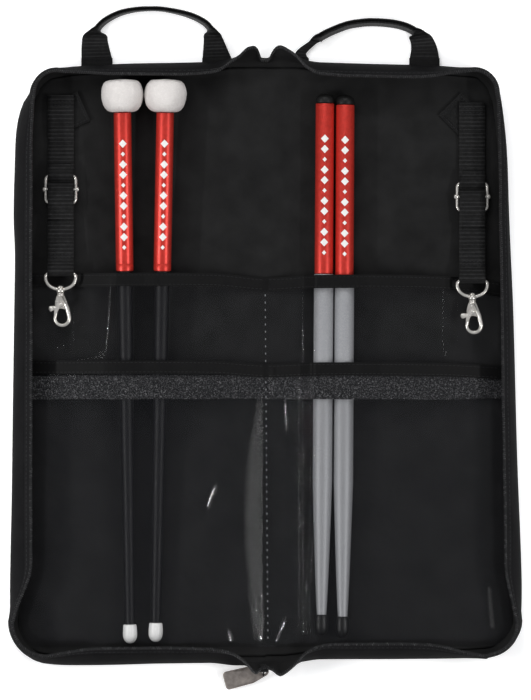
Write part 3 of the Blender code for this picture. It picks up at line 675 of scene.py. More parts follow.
def stations(side_name):
    """Places round a half, from the middle of the bottom end to the middle of the top end.

    Each has its base on the outer edge, the outward normal, the zip's place and height, and the wall's fold.
    """
    lean = math.atan(HALF_TAPER)
    normal = (math.cos(lean), math.sin(lean))
    found = []
    start = side_u(-HALF_Y) - BOTTOM_CORNER
    for u in [*spread_out(0, 0.050, 32), *spread_out(0.050, start, 18)[1:]]:
        found.append((u, -base_y(u), (0, -1), through(ZIP_BOTTOM[side_name], u), "end"))
    low = -HALF_Y + BOTTOM_CORNER
    for i in range(1, 15):
        a = lerp(-math.pi / 2, lean, i / 14)
        n = (math.cos(a), math.sin(a))
        place = (start + BOTTOM_CORNER * n[0], low + BOTTOM_CORNER * n[1])
        found.append((*place, n, ZIP_CORNER[side_name, -1], "corner"))
    top_start = side_u(HALF_Y) - TOP_CORNER
    high = HALF_Y - TOP_CORNER
    first, last = low + BOTTOM_CORNER * normal[1], high + TOP_CORNER * normal[1]
    inset, slope = ZIP_SIDE[side_name]
    for y in spread_out(first, last, 56)[1:-1]:
        full = inset - slope * y
        t = smooth((y - first) / 0.045)
        zip_inset = lerp(ZIP_CORNER[side_name, -1], full, t)
        zip_inset = lerp(ZIP_CORNER[side_name, 1], zip_inset, smooth((last - y) / 0.050))
        found.append((side_u(y), y, normal, zip_inset, "side"))
    for i in range(13):
        a = lerp(lean, math.pi / 2, i / 12)
        n = (math.cos(a), math.sin(a))
        place = (top_start + TOP_CORNER * n[0], high + TOP_CORNER * n[1])
        found.append((*place, n, ZIP_CORNER[side_name, 1], "corner"))
    for u in [*spread_out(top_start, 0.050, 18)[1:], *spread_out(0.050, 0, 32)[1:]]:
        found.append((u, base_y(u), (0, 1), through(ZIP_TOP[side_name], u), "end"))
    return found


def wall_places(side_name):
    """The stations as plan vectors: base, normal, fold, zip, and the heights of the fold and the zip."""
    side = SIDES[side_name]
    made = []
    for u, y, (nu, ny), inset, kind in stations(side_name):
        n = Vector((side * nu, ny, 0))
        base = Vector((side * u, y, 0))
        if kind == "end":
            edge = Vector((side * u, math.copysign(HALF_Y, y), 0))
            height = through(ZIP_HEIGHT, u)
            narrow = lerp(0.0012, 0.0038, smooth((u - 0.020) / 0.045))
            narrow = lerp(0.0022, narrow, smooth((side_u(y) - 0.040 - u) / 0.030)) if u > 0.1 else narrow
        else:
            edge = base
            height = COIL_Z
            run = min(abs(y + HALF_Y - BOTTOM_CORNER), abs(HALF_Y - TOP_CORNER - y))
            narrow = 0.0022 if kind == "corner" else lerp(0.0022, 0.0046, smooth(run / 0.060))
        wobble = 0.0006 * ripple(base.x + 3, base.y, 0.045)
        zip_at = edge - n * (inset + wobble)
        fold = edge - n * (inset + wobble - narrow)
        drop = 0.0020 + narrow * 0.25
        made.append((settle(side_name, base), n, fold, zip_at, height - drop, height))
    return made


def wall_section(base, n, fold, fold_z):
    """The padded wall's outline at a station: out and up to the fold, then down the inside to the lining."""
    puff = 0.0010 + 0.0005 * ripple(base.x, base.y, 0.06, 4.0)
    low = 0.0040

    def at(plan, z):
        return Vector((plan.x, plan.y, z))

    ring = [
        at(base - n * 0.0040, 0.0003),
        at(base - n * 0.0012, 0.0003),
        at(base + n * 0.0002, 0.0009),
        at(base + n * 0.0004, 0.0022),
        at(base - n * 0.0002, 0.0034),
    ]
    shares = (0.12, 0.30, 0.50, 0.70, 0.88, 1.0)
    for t in shares:
        plan = base.lerp(fold, t**1.25) + n * puff * math.sin(math.pi * min(t, 0.97))
        ring.append(at(plan, lerp(low, fold_z, t)))
    ring.append(at(fold - n * 0.0010, fold_z + 0.0007))
    ring.append(at(fold - n * 0.0022, fold_z - 0.0002))
    for t in reversed(shares[:-1]):
        plan = base.lerp(fold, t**1.25) - n * (0.0032 - puff * 0.4)
        ring.append(at(plan, lerp(low + 0.0012, fold_z - 0.0010, t)))
    ring.append(at(base - n * 0.0050, 0.0054))
    ring.append(at(base - n * 0.0060, 0.0040))
    ring.append(at(base - n * 0.0062, 0.0030))
    return ring


def half_wall(name):
    """The wall of a half with its share of the spine's ends, its zip tape, coil and stitching."""
    places = wall_places(name)
    rings = [wall_section(base, n, fold, fold_z) for base, n, fold, _, fold_z, _ in places]
    outer_points = 12
    wall = rings_object(f"{name}_wall", rings, [NYLON, LINING], paint=lambda i: 0 if i < outer_points else 1)

    tape = []
    for _, n, fold, zip_at, fold_z, zip_z in places:
        line = [
            (fold + n * 0.0004, fold_z + 0.0006),
            (fold.lerp(zip_at, 0.5), lerp(fold_z, zip_z, 0.62) + 0.0003),
            (zip_at - n * 0.0006, zip_z - 0.0009),
        ]
        top = [Vector((p.x, p.y, z + 0.0003)) for p, z in line]
        under = [Vector((p.x, p.y, z - 0.0003)) for p, z in reversed(line)]
        tape.append(top + under)
    strip = rings_object(f"{name}_zip_tape", tape, [TAPE_CLOTH], angle=50)

    centre = [Vector((zip_at.x, zip_at.y, zip_z)) for _, _, _, zip_at, _, zip_z in places]
    coil = zip_coil(f"{name}_zip_coil", centre, [n for _, n, *_ in places])

    seam_line = []
    for _, _, fold, zip_at, fold_z, zip_z in places:
        plan = fold.lerp(zip_at, 0.22)
        seam_line.append(Vector((plan.x, plan.y, lerp(fold_z, zip_z, 0.30) + 0.0009)))
    stitches = stitching(f"{name}_zip_stitching", [seam_line], ZIP_STITCH)
    ends = ("spine_top_end_wall", "spine_bottom_end_wall") if name == "left" else ()
    bend(wall, name, "nylon", f"{name}_gusset")
    bend(strip, name, "nylon", *ends)
    bend(coil, name, "coil", f"{name}_zip_chain")
    bend(stitches, name, "webbing")


def zip_coil(name, centre, normals):
    """The zip's spiral of nylon wire along its line."""
    samples = []
    to_a_turn = 7
    turn_step = 2 * math.pi / to_a_turn
    step = COIL_PITCH / to_a_turn
    phase = 0.0
    left = 0.0
    for a, b, na, nb in zip(centre, centre[1:], normals, normals[1:]):
        run = (b - a).length
        along = (b - a) / run
        while left < run:
            out = na.lerp(nb, left / run).normalized()
            over = along.cross(out).normalized()
            swing = COIL_RADIUS * (1.25 * math.cos(phase) * out + 0.8 * math.sin(phase) * over)
            samples.append(a + along * left + swing)
            phase += turn_step
            left += step
        left -= run
    mesh = bmesh.new()
    add_tube(mesh, samples, COIL_WIRE, 4)
    return finish_mesh(name, mesh, [COIL], 80)


# ---------------------------------------------------------------- panels


def inner_edge_u(y, inset):
    """How far out a half's panel reaches at y, round its corners, for a panel inset from the edge."""
    radius = TOP_CORNER if y > 0 else BOTTOM_CORNER
    corner_y = HALF_Y - radius
    if abs(y) <= corner_y:
        return side_u(y) - inset
    corner_u = side_u(math.copysign(HALF_Y, y)) - radius
    rest = max((radius - inset) ** 2 - (abs(y) - corner_y) ** 2, 0.0)
    return corner_u + math.sqrt(rest)


def half_panel(name, inset, rows, columns, top_z, bottom_z):
    """Two grids of points over a half, from the spine's middle out to its edge, closer at the ends."""
    side = SIDES[name]
    end_y = HALF_Y - inset
    top, bottom = [], []
    for i in range(rows + 1):
        t = i / rows
        y = end_y * math.sin((t - 0.5) * math.pi * 0.985) / math.sin(math.pi * 0.4925)
        edge = inner_edge_u(y, inset)
        upper, under = [], []
        for j in range(columns + 1):
            u = edge * (0.7 * (j / columns) + 0.3 * (j / columns) ** 2)
            reach = (base_y(u) - inset) / end_y
            gap = min(edge - u, end_y - abs(y))
            upper.append(settle(name, Vector((side * u, y * reach, top_z(side * u, y, gap)))))
            under.append(settle(name, Vector((side * u, y * reach, bottom_z(side * u, y, gap)))))
        top.append(upper)
        bottom.append(under)
    return top, bottom


def lining_z(x, y, from_edge):
    crease = 0.00022 * ripple(x, y * 0.6, 0.030, 2.0) + 0.00012 * ripple(x * 1.6, y, 0.012, 7.0)
    roll = 0.0010 * math.exp(-(((from_edge - 0.0016) / 0.0018) ** 2))
    roll -= 0.0012 * (1 - smooth(from_edge / 0.0012))
    return LINING_TOP - 0.0003 + crease + roll


def half_panels(name):
    top, bottom = half_panel(name, 0.0062, 110, 60, lining_z, lambda x, y, e: LINING_TOP - 0.0022)
    lining = thin_grid(f"{name}_lining_cloth", top, bottom, [LINING])
    spine = ("spine_lining",) if name == "left" else ()
    bend(lining, name, "lining", f"{name}_lining", *spine)

    def back_z(x, y, from_edge):
        quilt = 0.0002 * (1 + ripple(x, y, 0.05, 9.0))
        return 0.0001 + quilt + 0.0012 * (1 - smooth(from_edge / 0.006))

    top, bottom = half_panel(name, 0.0006, 70, 44, lambda x, y, e: 0.0034, back_z)
    back = thin_grid(f"{name}_back_panel", top, bottom, [NYLON])
    spine = ("spine_shell", "spine_foam_pad") if name == "left" else ()
    bend(back, name, "nylon", f"{name}_back_shell", f"{name}_foam_pad", *spine)
    bend(back_seams(name), name, "webbing")


def back_seams(name):
    """The stitching under a half: along its side, its two ends and the spine."""
    side = SIDES[name]
    inset = 0.0052
    seam_z = 0.0006

    def seam_at(u, y):
        return settle(name, Vector((side * u, y, seam_z)))

    along = [lerp(HALF_Y - inset, -HALF_Y + inset, i / 160) for i in range(161)]
    lines = [[seam_at(inner_edge_u(y, inset), y) for y in along]]
    for way in (-1, 1):
        y = way * (HALF_Y - inset)
        lines.append([seam_at(u, y) for u in spread_out(0.004, inner_edge_u(y, inset), 40)])
    lines.append([Vector((side * (HINGE_U - 0.0030), y, 0.0002)) for y in (-0.218, 0.218)])
    return stitching(f"{name}_back_stitching", lines, BACK_STITCH)


# ---------------------------------------------------------------- clear pockets


def seam_x(y):
    """Where the seam down the spine runs at y."""
    (y0, x0), (y1, x1) = SEAM_X
    return lerp(x0, x1, (y - y0) / (y1 - y0))


def stick_tops(x, y):
    """(height of a stick's top under a plan place, distance sideways past it) for each stick near x."""
    found = []
    for low, high, radii in STICKS.values():
        t = min(max((y - low[1]) / (high[1] - low[1]), 0.0), 1.0)
        radius = through(radii, t)
        found.append((lerp(low[2], high[2], t) + radius, abs(x - lerp(low[0], high[0], t)) - radius * 0.6))
    return found


def pocket_z(x, y):
    """Height of the rear sheet, which is sewn down along three sides and held up by the sticks."""
    u = abs(x)
    z = lerp(0.0230, 0.0165, (0.067 - y) / 0.280) - 0.0010 * (1 + ripple(x, y * 0.7, 0.050, 11.0))
    z += 0.0004 * ripple(x * 1.4, y * 0.35, 0.032, 5.0)
    for top, past in stick_tops(x, y):
        reach = max(past, 0.0)
        near = min(reach, 0.020)
        z = max(z, top + 0.0005 - 0.05 * near - 4 * near * near - 0.21 * (reach - near))
    outer_slope = lerp(0.21, 0.29, smooth((y + 0.12) / 0.18)) if x < 0 else 0.16
    z = min(z, FOOT_Z + outer_slope * max(pocket_edge_u(y) - u, 0.0))
    shoulder = through(SHOULDER, y) if x < 0 else 0.0
    rise = INNER_SLOPE * max(u - 0.0020, 0.0) + 0.12 * min(max(u - 0.0020, 0.0), shoulder)
    if x > 0:
        rise += 0.8 * max(u - FOLD_U, 0.0)
    z = min(z, FOOT_Z + rise)
    under_hook = FOOT_Z + 0.0002 + 0.62 * max(HOOK_INNER_U - u, 0.0)
    z = lerp(z, min(z, under_hook), smooth((y - 0.001) / 0.015))
    return lerp(FOOT_Z, z, smooth((y - FLOOR_Y) / 0.0030))


def front_z(x, y):
    """Height of the front sheet: it lies loosely on the rear one, with a few short folds near the spine."""
    u = abs(x)
    z = max(pocket_z(x, y), pocket_z(x + 0.003, y) - 0.0008, pocket_z(x - 0.003, y) - 0.0008) + 0.0016
    loose = smooth((u - 0.0020) / 0.030) * smooth((pocket_edge_u(y) - u) / 0.060)
    loose *= smooth((y - FLOOR_Y) / 0.020)
    z += 0.0006 * loose * (1 + ripple(x * 0.8, y * 0.3, 0.045, 21.0))
    for start, end, height, width in FOLDS:
        across, along = beside(x, y, start, end)
        if abs(across) < 3 * width and 0 < along < 1:
            fade = smooth(along / 0.25) * smooth((1 - along) / 0.12)
            z += height * math.exp(-((across / width) ** 2)) * fade
    return z


def beside(x, y, start, end):
    """(distance across, share along) of a plan point from the line between two others."""
    run = Vector(end) - Vector(start)
    away = Vector((x, y)) - Vector(start)
    length = run.length
    return (away.x * run.y - away.y * run.x) / length, away.dot(run) / length**2


def pocket_edge_u(y):
    """How far out a pocket reaches at y, round the bottom corner."""
    inset = 0.0096
    radius = BOTTOM_CORNER - inset
    past = min(max(BOTTOM_CORNER - HALF_Y - y, 0.0), radius)
    return side_u(y) - inset - radius + math.sqrt(radius**2 - past**2)


def pocket_strip(name, height, lines, grid, skin, material, rough=0.0):
    """A closed strip of a pocket layer on a half.

    It runs between two lines across the half, as y at x, in a grid of (rows, columns), and its skin
    lies from low to high above a height.
    """
    side = SIDES[name.split("_")[0]]
    start_y, end_y = lines
    rows, columns = grid
    low, high = skin
    top, bottom = [], []
    for i in range(rows + 1):
        upper, under = [], []
        for j in range(columns + 1):
            share = j / columns
            share = 0.50 * share + 0.50 * share**1.7
            guess = lerp(start_y(side * 0.09), end_y(side * 0.09), i / rows)
            x = side * pocket_edge_u(guess) * share
            y = lerp(start_y(x), end_y(x), i / rows)
            x = side * pocket_edge_u(y) * share
            x += seam_x(y) * (1 - smooth(share / 0.12))
            z = height(x, y)
            fuzz = rough * noise.noise(Vector((x * 900, y * 900, 1.0))) if rough else 0.0
            upper.append(Vector((x, y, z + high + fuzz)))
            under.append(Vector((x, y, z + low)))
        top.append(upper)
        bottom.append(under)
    return thin_grid(name, top, bottom, [material])


def across_half(side):
    """Even places in x for a seam across a half's pockets."""
    return [side * lerp(0.002, pocket_edge_u(0) - 0.002, j / 120) for j in range(121)]


def pockets(name):
    pocket("rear", name, pocket_z)
    pocket("front", name, front_z)
    loop_tape(name)


def pocket(layer, name, height):
    """A clear sheet with its mouth's binding and stitching."""

    def mouth_y(x):
        return through(MOUTH[layer], x)

    sheet = pocket_strip(
        f"{name}_{layer}_vinyl",
        height,
        (lambda x: mouth_y(x) - 0.002, lambda x: FLOOR_Y),
        (124, 150),
        (-SHEET / 2, SHEET / 2),
        VINYL,
    )
    binding = pocket_strip(
        f"{name}_{layer}_binding",
        height,
        (mouth_y, lambda x: mouth_y(x) - BINDING_WIDTH),
        (8, 150),
        (-0.0006, 0.0008),
        GROSGRAIN,
    )
    lines = []
    for back in (0.0016, BINDING_WIDTH - 0.0014):
        places = [(x, mouth_y(x) - back) for x in across_half(SIDES[name])]
        lines.append([Vector((x, y, height(x, y) + 0.0009)) for x, y in places])
    stitches = stitching(f"{name}_{layer}_binding_stitching", lines, BINDING_STITCH)
    spine = (f"spine_{layer}_pocket_sheet",) if name == "left" else ()
    bend(sheet, name, "vinyl", f"{name}_{layer}_pocket_sheet", *spine)
    bend(binding, name, "webbing", f"{name}_{layer}_pocket_binding")
    bend(stitches, name, "webbing")
    length = mouth_y(0.0) - FLOOR_Y


def loop_tape(name):
    """The strip of looped pile across the rear sheet, sewn along both edges."""

    def edge_y(y):
        return lambda x: y + 0.0010 * ripple(x, 0, 0.05, 2.0)

    lines = (edge_y(TAPE_Y[0]), edge_y(TAPE_Y[1]))
    skin = (0.0003, 0.0011)
    tape = pocket_strip(f"{name}_loop_tape_pile", pocket_z, lines, (22, 230), skin, PILE, 0.00035)
    bend(tape, name, "loop_pile", f"{name}_loop_tape")
    seams = []
    for y in (TAPE_Y[0] - 0.0010, TAPE_Y[1] + 0.0012):
        seams.append([Vector((x, y, pocket_z(x, y) + 0.0013)) for x in across_half(SIDES[name])])
    bend(stitching(f"{name}_loop_tape_stitching", seams, TAPE_STITCH), name, "webbing")


def centre_stitching():
    """The row of stitches that holds both clear sheets down along the spine, in a pale thread that stands
    for their glints as a painted highlight.
    """
    line = []
    for i in range(80):
        y = lerp(0.053, -0.2125, i / 79)
        x = seam_x(y)
        height = front_z if y < -0.002 else pocket_z
        line.append(Vector((x, y, height(x, y) + 0.0004)))
    stitches = stitching("spine_pocket_stitching", [line], SPINE_STITCH, GLINT_THREAD)
    dress(stitches, "spine", "webbing")


# ---------------------------------------------------------------- webbing


def web_section(width, thick, groove=0.0):
    """A flat band's outline as (across, over) points, with soft edges and a fold line in one edge."""
    half, skin = width / 2, thick / 2
    edge = min(skin, half)
    across = (-half + edge * 0.6, -half * 0.6, -half * 0.2, half * 0.2, half * 0.6, half - edge * 0.6)
    ring = [(x, skin) for x in across]
    ring += [(half - edge * 0.1, skin * 0.62), (half - groove, 0.0), (half - edge * 0.1, -skin * 0.62)]
    ring += [(x, -skin) for x in reversed(across)]
    ring += [(-half + edge * 0.1, -skin * 0.62), (-half, 0.0), (-half + edge * 0.1, skin * 0.62)]
    return ring


def on_rib_highlight(pitch):
    """Picks the tops of a band's ribs, as a tone for its rings: they take the lighter webbing as a painted
    highlight.
    """

    def tone(k):
        place = (k + 0.5) * BAND_STEP / pitch
        return 1 if abs(place - round(place)) < 0.15 else 0

    return tone


def web_rings(path, frames, widths, thicks, pitch, grooves=None):
    """Rings of a ribbed band along a path. frames are (across, over) unit vectors at each point."""
    rings = []
    run = 0.0
    depth = 0.00022
    for i, point in enumerate(path):
        if i:
            run += (point - path[i - 1]).length
        rib = depth * (2 * (0.5 + 0.5 * math.cos(2 * math.pi * run / pitch)) ** 2 - 1)
        across, over = frames[i]
        groove = grooves[i] if grooves else 0.0
        ring = []
        for x, z in web_section(widths[i], thicks[i], groove):
            z += math.copysign(rib, z) if abs(z) > thicks[i] * 0.45 else 0.0
            ring.append(point + across * x + over * z)
        rings.append(ring)
    return rings


def strap_frame(shape, side):
    seam = Matrix.Translation((side * shape["u"], shape["y"], STRAP_Z))
    return seam @ Matrix.Rotation(-STRAP_RISE, 4, "X")


def strap_line():
    """The strap's middle line as (along, over) points: down to the ring, round it and back underneath."""
    line = [(0.0, -0.0002), (0.015, -0.0008), (0.030, -0.0026), (0.044, -0.0037), (0.060, -0.0037)]
    line += [(0.080, -0.0037), (0.100, -0.0037), (0.114, -0.0036), (0.124, -0.0031), (0.131, -0.0006)]
    round_ring = 0.0019
    for i in range(1, 12):
        a = math.radians(90 - 180 * i / 12)
        across = STRAP_LENGTH + round_ring * math.cos(a) - 0.0010
        line.append((across, RING_LEVEL + round_ring * math.sin(a)))
    line += [(0.131, -0.0039), (0.120, -0.0049), (0.100, -0.0051), (0.060, -0.0051), (0.048, -0.0051)]
    return line


def band(line, at, width, thick):
    """Rings of a ribbed strap from its (along, over) line in a frame whose -Y runs along it."""
    path = resample(curve_through([Vector((0, -s, z)) for s, z in line], 8), BAND_STEP)
    turn = at.to_3x3()
    across = Vector((1, 0, 0))
    frames = []
    for i in range(len(path)):
        along = (path[min(i + 1, len(path) - 1)] - path[max(i - 1, 0)]).normalized()
        frames.append((turn @ across, turn @ across.cross(along)))
    path = [at @ p for p in path]
    count = len(path)
    return web_rings(path, frames, [width] * count, [thick] * count, STRAP_PITCH)


def strap(name):
    """A hanging strap with its patch, wire slider, D-ring and swivel hook."""
    side = SIDES[name]
    shape = STRAPS[name]
    at = strap_frame(shape, side)
    rings = band(strap_line(), at, STRAP_WIDTH, STRAP_WEB)
    # The rib tops take the lighter webbing as a painted highlight.
    web = rings_object(f"{name}_strap_webbing", rings, [WEBBING, RIB_HIGHLIGHT], angle=70, tone=on_rib_highlight(STRAP_PITCH))
    dress(web, f"{name}_strap", "webbing", f"{name}_strap")

    lines = []
    for s, z in ((0.0045, 0.0006), (0.0075, 0.0006), (0.1200, -0.0025), (0.1225, -0.0025)):
        lines.append([at @ Vector((x, -s, z)) for x in (-0.0085, 0.0085)])
    stitches = stitching(f"{name}_strap_stitching", lines, STRAP_STITCH)
    dress(stitches, f"{name}_strap", "webbing")

    slider_fold(name, at)
    patch(name, side, shape)
    wire_slider(name, at)
    swivel = ring(name, at)
    hook(name, Matrix.Translation((swivel.x, swivel.y, HOOK_Z)))


def slider_fold(name, at):
    """The stretch of strap that rises over the wire slider's bars and dips between them."""
    line = [(-0.0190, -0.0017), (-0.0160, -0.0016), (-0.0125, 0.0), (-0.0105, 0.0004), (-0.0086, -0.0006)]
    line += [(-0.0072, -0.0021), (-0.0048, -0.0021), (-0.0032, -0.0004), (0.0, 0.0004), (0.0040, 0.0)]
    line += [(0.0080, 0.0001), (0.0106, 0.0004), (0.0135, -0.0002), (0.0180, -0.0011), (0.0225, -0.0013)]
    rings = band([(SLIDER_AT + s, z) for s, z in line], at, STRAP_WIDTH * 0.985, 0.0011)
    ribs = on_rib_highlight(STRAP_PITCH)
    shade_top = (at @ Vector((0, -SLIDER_AT + 0.0080, 0))).y
    shade_low = (at @ Vector((0, -SLIDER_AT + 0.0037, 0))).y

    # Under the slider's top bar the strap takes the near-black webbing as painted shade; elsewhere the rib
    # tops take the lighter one as a painted highlight.
    def tone(k):
        return 2 if shade_low < rings[k][0].y < shade_top else ribs(k)

    fold = rings_object(f"{name}_slider_fold", rings, [WEBBING, RIB_HIGHLIGHT, PAINTED_SHADE], angle=70, tone=tone)
    dress(fold, f"{name}_strap_slider", "webbing")


def patch(name, side, shape):
    """The webbing patch under the strap's top, sewn round and across, with its edges lifted."""
    u, y = shape["patch"]
    turn = Matrix.Translation((side * u, y, 0)) @ Matrix.Rotation(math.radians(shape["turn"]), 4, "Z")
    half = 0.0120
    count = 24
    top, bottom = [], []
    for i in range(count + 1):
        upper, under = [], []
        for j in range(count + 1):
            a, b = lerp(-half, half, i / count), lerp(-half, half, j / count)
            p = turn @ Vector((a, b, 0))
            rib = 0.00012 * math.cos(2 * math.pi * b / PATCH_PITCH)
            near_edge = max(abs(a), abs(b)) / half
            lift = 0.0007 * smooth((near_edge - 0.75) * 4)
            upper.append(Vector((p.x, p.y, LINING_TOP + 0.0013 + rib + lift)))
            under.append(Vector((p.x, p.y, LINING_TOP + 0.0002 + lift)))
        top.append(upper)
        bottom.append(under)
    piece = thin_grid(f"{name}_anchor_patch", top, bottom, [WEBBING], 50)
    dress(piece, f"{name}_half", "webbing", f"{name}_strap_anchor")
    a = half - 0.0018
    corners = [(-a, -a), (a, -a), (a, a), (-a, a), (-a, -a), (a, a)]
    line = [turn @ Vector((*corner, LINING_TOP + 0.0018)) for corner in corners]
    dress(stitching(f"{name}_anchor_stitching", [line], PATCH_STITCH), f"{name}_half", "webbing")


def bar(mesh, at, start, end, radius, sides, ends=0.3):
    """A straight round bar with softened ends."""
    start, end = Vector(start), Vector(end)
    length = (end - start).length
    turn = Vector((0, 1, 0)).rotation_difference(end - start).to_matrix().to_4x4()
    soft = min(radius * ends, length * 0.3)
    profile = [(radius - soft, 0), (radius - soft * 0.3, soft * 0.3), (radius, soft)]
    profile += [(radius, length - soft), (radius - soft * 0.3, length - soft * 0.3), (radius - soft, length)]
    add_turned(mesh, profile, at @ Matrix.Translation(start) @ turn, sides)


def wire_slider(name, at):
    """The wire slider: a rounded wire frame with a centre bar that ends in a knob on each rail."""
    mesh = bmesh.new()
    wire = 0.00105
    x, y, corner = 0.01245 - wire, 0.0115 - wire, 0.0035
    line = []
    for centre, start in (((1, 1), 0), ((-1, 1), 90), ((-1, -1), 180), ((1, -1), 270)):
        middle = (centre[0] * (x - corner), centre[1] * (y - corner))
        line += arc(middle, corner, start, start + 90, 8)
    points = [at @ Vector((a, b - SLIDER_AT, RING_LEVEL)) for a, b in line]
    add_tube(mesh, points, wire, 14, closed=True, up=at.to_3x3() @ UP)
    centre = Vector((0, -SLIDER_AT, RING_LEVEL))
    bar(mesh, at, centre - Vector((x, 0, 0)), centre + Vector((x, 0, 0)), wire * 0.92, 14)
    for way in (-1, 1):
        inside = centre + way * Vector((STRAP_WIDTH / 2 + 0.0004, 0, 0))
        outside = inside + way * Vector((0.0033, 0, 0))
        bar(mesh, at, inside, outside, 0.0017, 18, 0.6)
    piece = finish_mesh(f"{name}_wire_slider", mesh, [NICKEL])
    dress(piece, f"{name}_strap_slider", "nickel", f"{name}_strap_slider")


def ring(name, at):
    """The D-ring in the strap's fold, with the boss that the hook turns in. Returns the boss's lower end."""
    mesh = bmesh.new()
    wire = 0.00120
    half = 0.0253 / 2 - wire
    depth = 0.0140 - 2 * wire
    line = [(x, 0.0) for x in spread_out(-half + 0.0012, half - 0.0012, 6)]
    for i in range(41):
        a = math.pi * i / 40
        line.append((half * math.cos(a), -0.0014 - (depth - 0.0014) * math.sin(a) ** 0.82))
    points = [at @ Vector((x, y - STRAP_LENGTH, RING_LEVEL)) for x, y in line]
    add_tube(mesh, points, wire, 14, closed=True, up=at.to_3x3() @ UP)
    end = Vector((0, -STRAP_LENGTH - depth - 0.00204, RING_LEVEL))
    boss = [(0.0013, -0.0002), (0.0027, 0.0), (0.0030, 0.0006), (0.0030, 0.0016)]
    boss += [(0.0026, 0.0024), (0.0019, 0.0036), (0.0012, 0.0042)]
    add_turned(mesh, boss, at @ Matrix.Translation(end), 28)
    piece = finish_mesh(f"{name}_d_ring", mesh, [NICKEL])
    dress(piece, f"{name}_strap", "nickel", f"{name}_hook_ring")
    return at @ end


def outline_plate(mesh, at, outline, z, bevel):
    """A plate from its outline, with bevelled edges all round."""
    count = len(outline)
    centre = sum((Vector(p) for p in outline), Vector((0, 0))) / count
    rings = []
    for height, inset in ((z[0], bevel), (z[0] + bevel, 0.0), (z[1] - bevel, 0.0), (z[1], bevel)):
        ring_points = []
        for i, p in enumerate(outline):
            before, after = Vector(outline[i - 1]), Vector(outline[(i + 1) % count])
            along = (after - before).normalized()
            inward = Vector((-along.y, along.x))
            if inward.dot(centre - Vector(p)) < 0:
                inward = -inward
            q = Vector(p) + inward * inset
            ring_points.append(at @ Vector((q.x, q.y, height)))
        rings.append(ring_points)
    add_rings(mesh, rings)


def hook(name, at):
    """The swivel snap hook: neck, cheek with its rivet and teardrop loop, and the sprung thumb lever."""
    body = finish_mesh(f"{name}_snap_hook", hook_body(at), [NICKEL])
    dress(body, f"{name}_hook", "nickel", f"{name}_hook_body")
    lever = finish_mesh(f"{name}_thumb_lever", hook_lever(at), [NICKEL])
    dress(lever, f"{name}_hook_lever", "nickel", f"{name}_hook_lever")


def hook_body(at):
    mesh = bmesh.new()
    loop = [(0.0034, -0.0085), (0.0050, -0.0120)]
    loop += arc((0.0012, -0.0196), 0.0054, 18, -198, 26)
    loop += [(-0.0034, -0.0150), (-0.0030, -0.0122)]
    points = resample([at @ Vector((x, y, 0)) for x, y in loop], 0.0007)
    last = len(points) - 1
    radii = [lerp(0.00175, 0.00125, smooth(i / last * 1.3)) for i in range(last + 1)]
    add_tube(mesh, points, radii, 14, flat=1.25)
    cheek = [(-0.0020, -0.0014), (-0.0036, -0.0050), (-0.0043, -0.0090), (-0.0040, -0.0118)]
    cheek += [(-0.0022, -0.0128), (0.0010, -0.0124), (0.0050, -0.0134), (0.0060, -0.0110)]
    cheek += [(0.0046, -0.0070), (0.0032, -0.0035), (0.0020, -0.0014)]
    outline_plate(mesh, at, smooth_loop(cheek, 4), (-0.0020, 0.0001), 0.0005)
    rib = [(0.0008, -0.0030), (0.0016, -0.0030), (0.0058, -0.0120), (0.0044, -0.0128), (0.0030, -0.0100)]
    outline_plate(mesh, at, smooth_loop(rib, 4), (-0.0020, 0.0018), 0.0005)
    collar = [(0.0016, -0.0034), (0.0027, -0.0030), (0.0029, -0.0022), (0.0025, -0.0016)]
    collar += [(0.0025, -0.0012), (0.0028, -0.0008), (0.0024, -0.0003)]
    add_turned(mesh, collar, at, 24)
    bar(mesh, at, (0, -0.0020, 0), (0, 0.0042, 0), 0.0009, 12)
    head = [(0.0, 0.0036), (0.0020, 0.0038), (0.0020, 0.0042), (0.0012, 0.0048), (0.0, 0.0050)]
    add_turned(mesh, head, at, 20)
    rivet = Matrix.Translation(at.translation + Vector((0.0003, -0.0087, 0)))
    dome = [(0.0, -0.0025), (0.0009, -0.0025), (0.0013, -0.0022), (0.0013, 0.0019)]
    dome += [(0.0011, 0.0023), (0.0006, 0.00255), (0.0, 0.0026)]
    add_turned(mesh, dome, rivet @ Matrix.Rotation(math.pi / 2, 4, "X"), 20)
    return mesh


def hook_lever(at):
    mesh = bmesh.new()
    arm = [(0.0020, -0.0072), (0.0022, -0.0098), (-0.0004, -0.0112), (-0.0018, -0.0140), (-0.0034, -0.0168)]
    arm += [(-0.0048, -0.0168), (-0.0048, -0.0140), (-0.0046, -0.0118), (-0.0030, -0.0082)]
    arm.append((-0.0004, -0.0064))
    outline_plate(mesh, at, smooth_loop(arm, 4), (0.0004, 0.0018), 0.0004)
    thumb = [(-0.0030, -0.0118), (-0.0050, -0.0120), (-0.0066, -0.0123), (-0.0080, -0.0126)]
    thumb.append((-0.0088, -0.0128))
    points = [at @ Vector((x, y, 0.0011)) for x, y in thumb]
    add_tube(mesh, points, [0.0012, 0.0016, 0.0021, 0.0021, 0.0010], 16, flat=0.7)
    return mesh


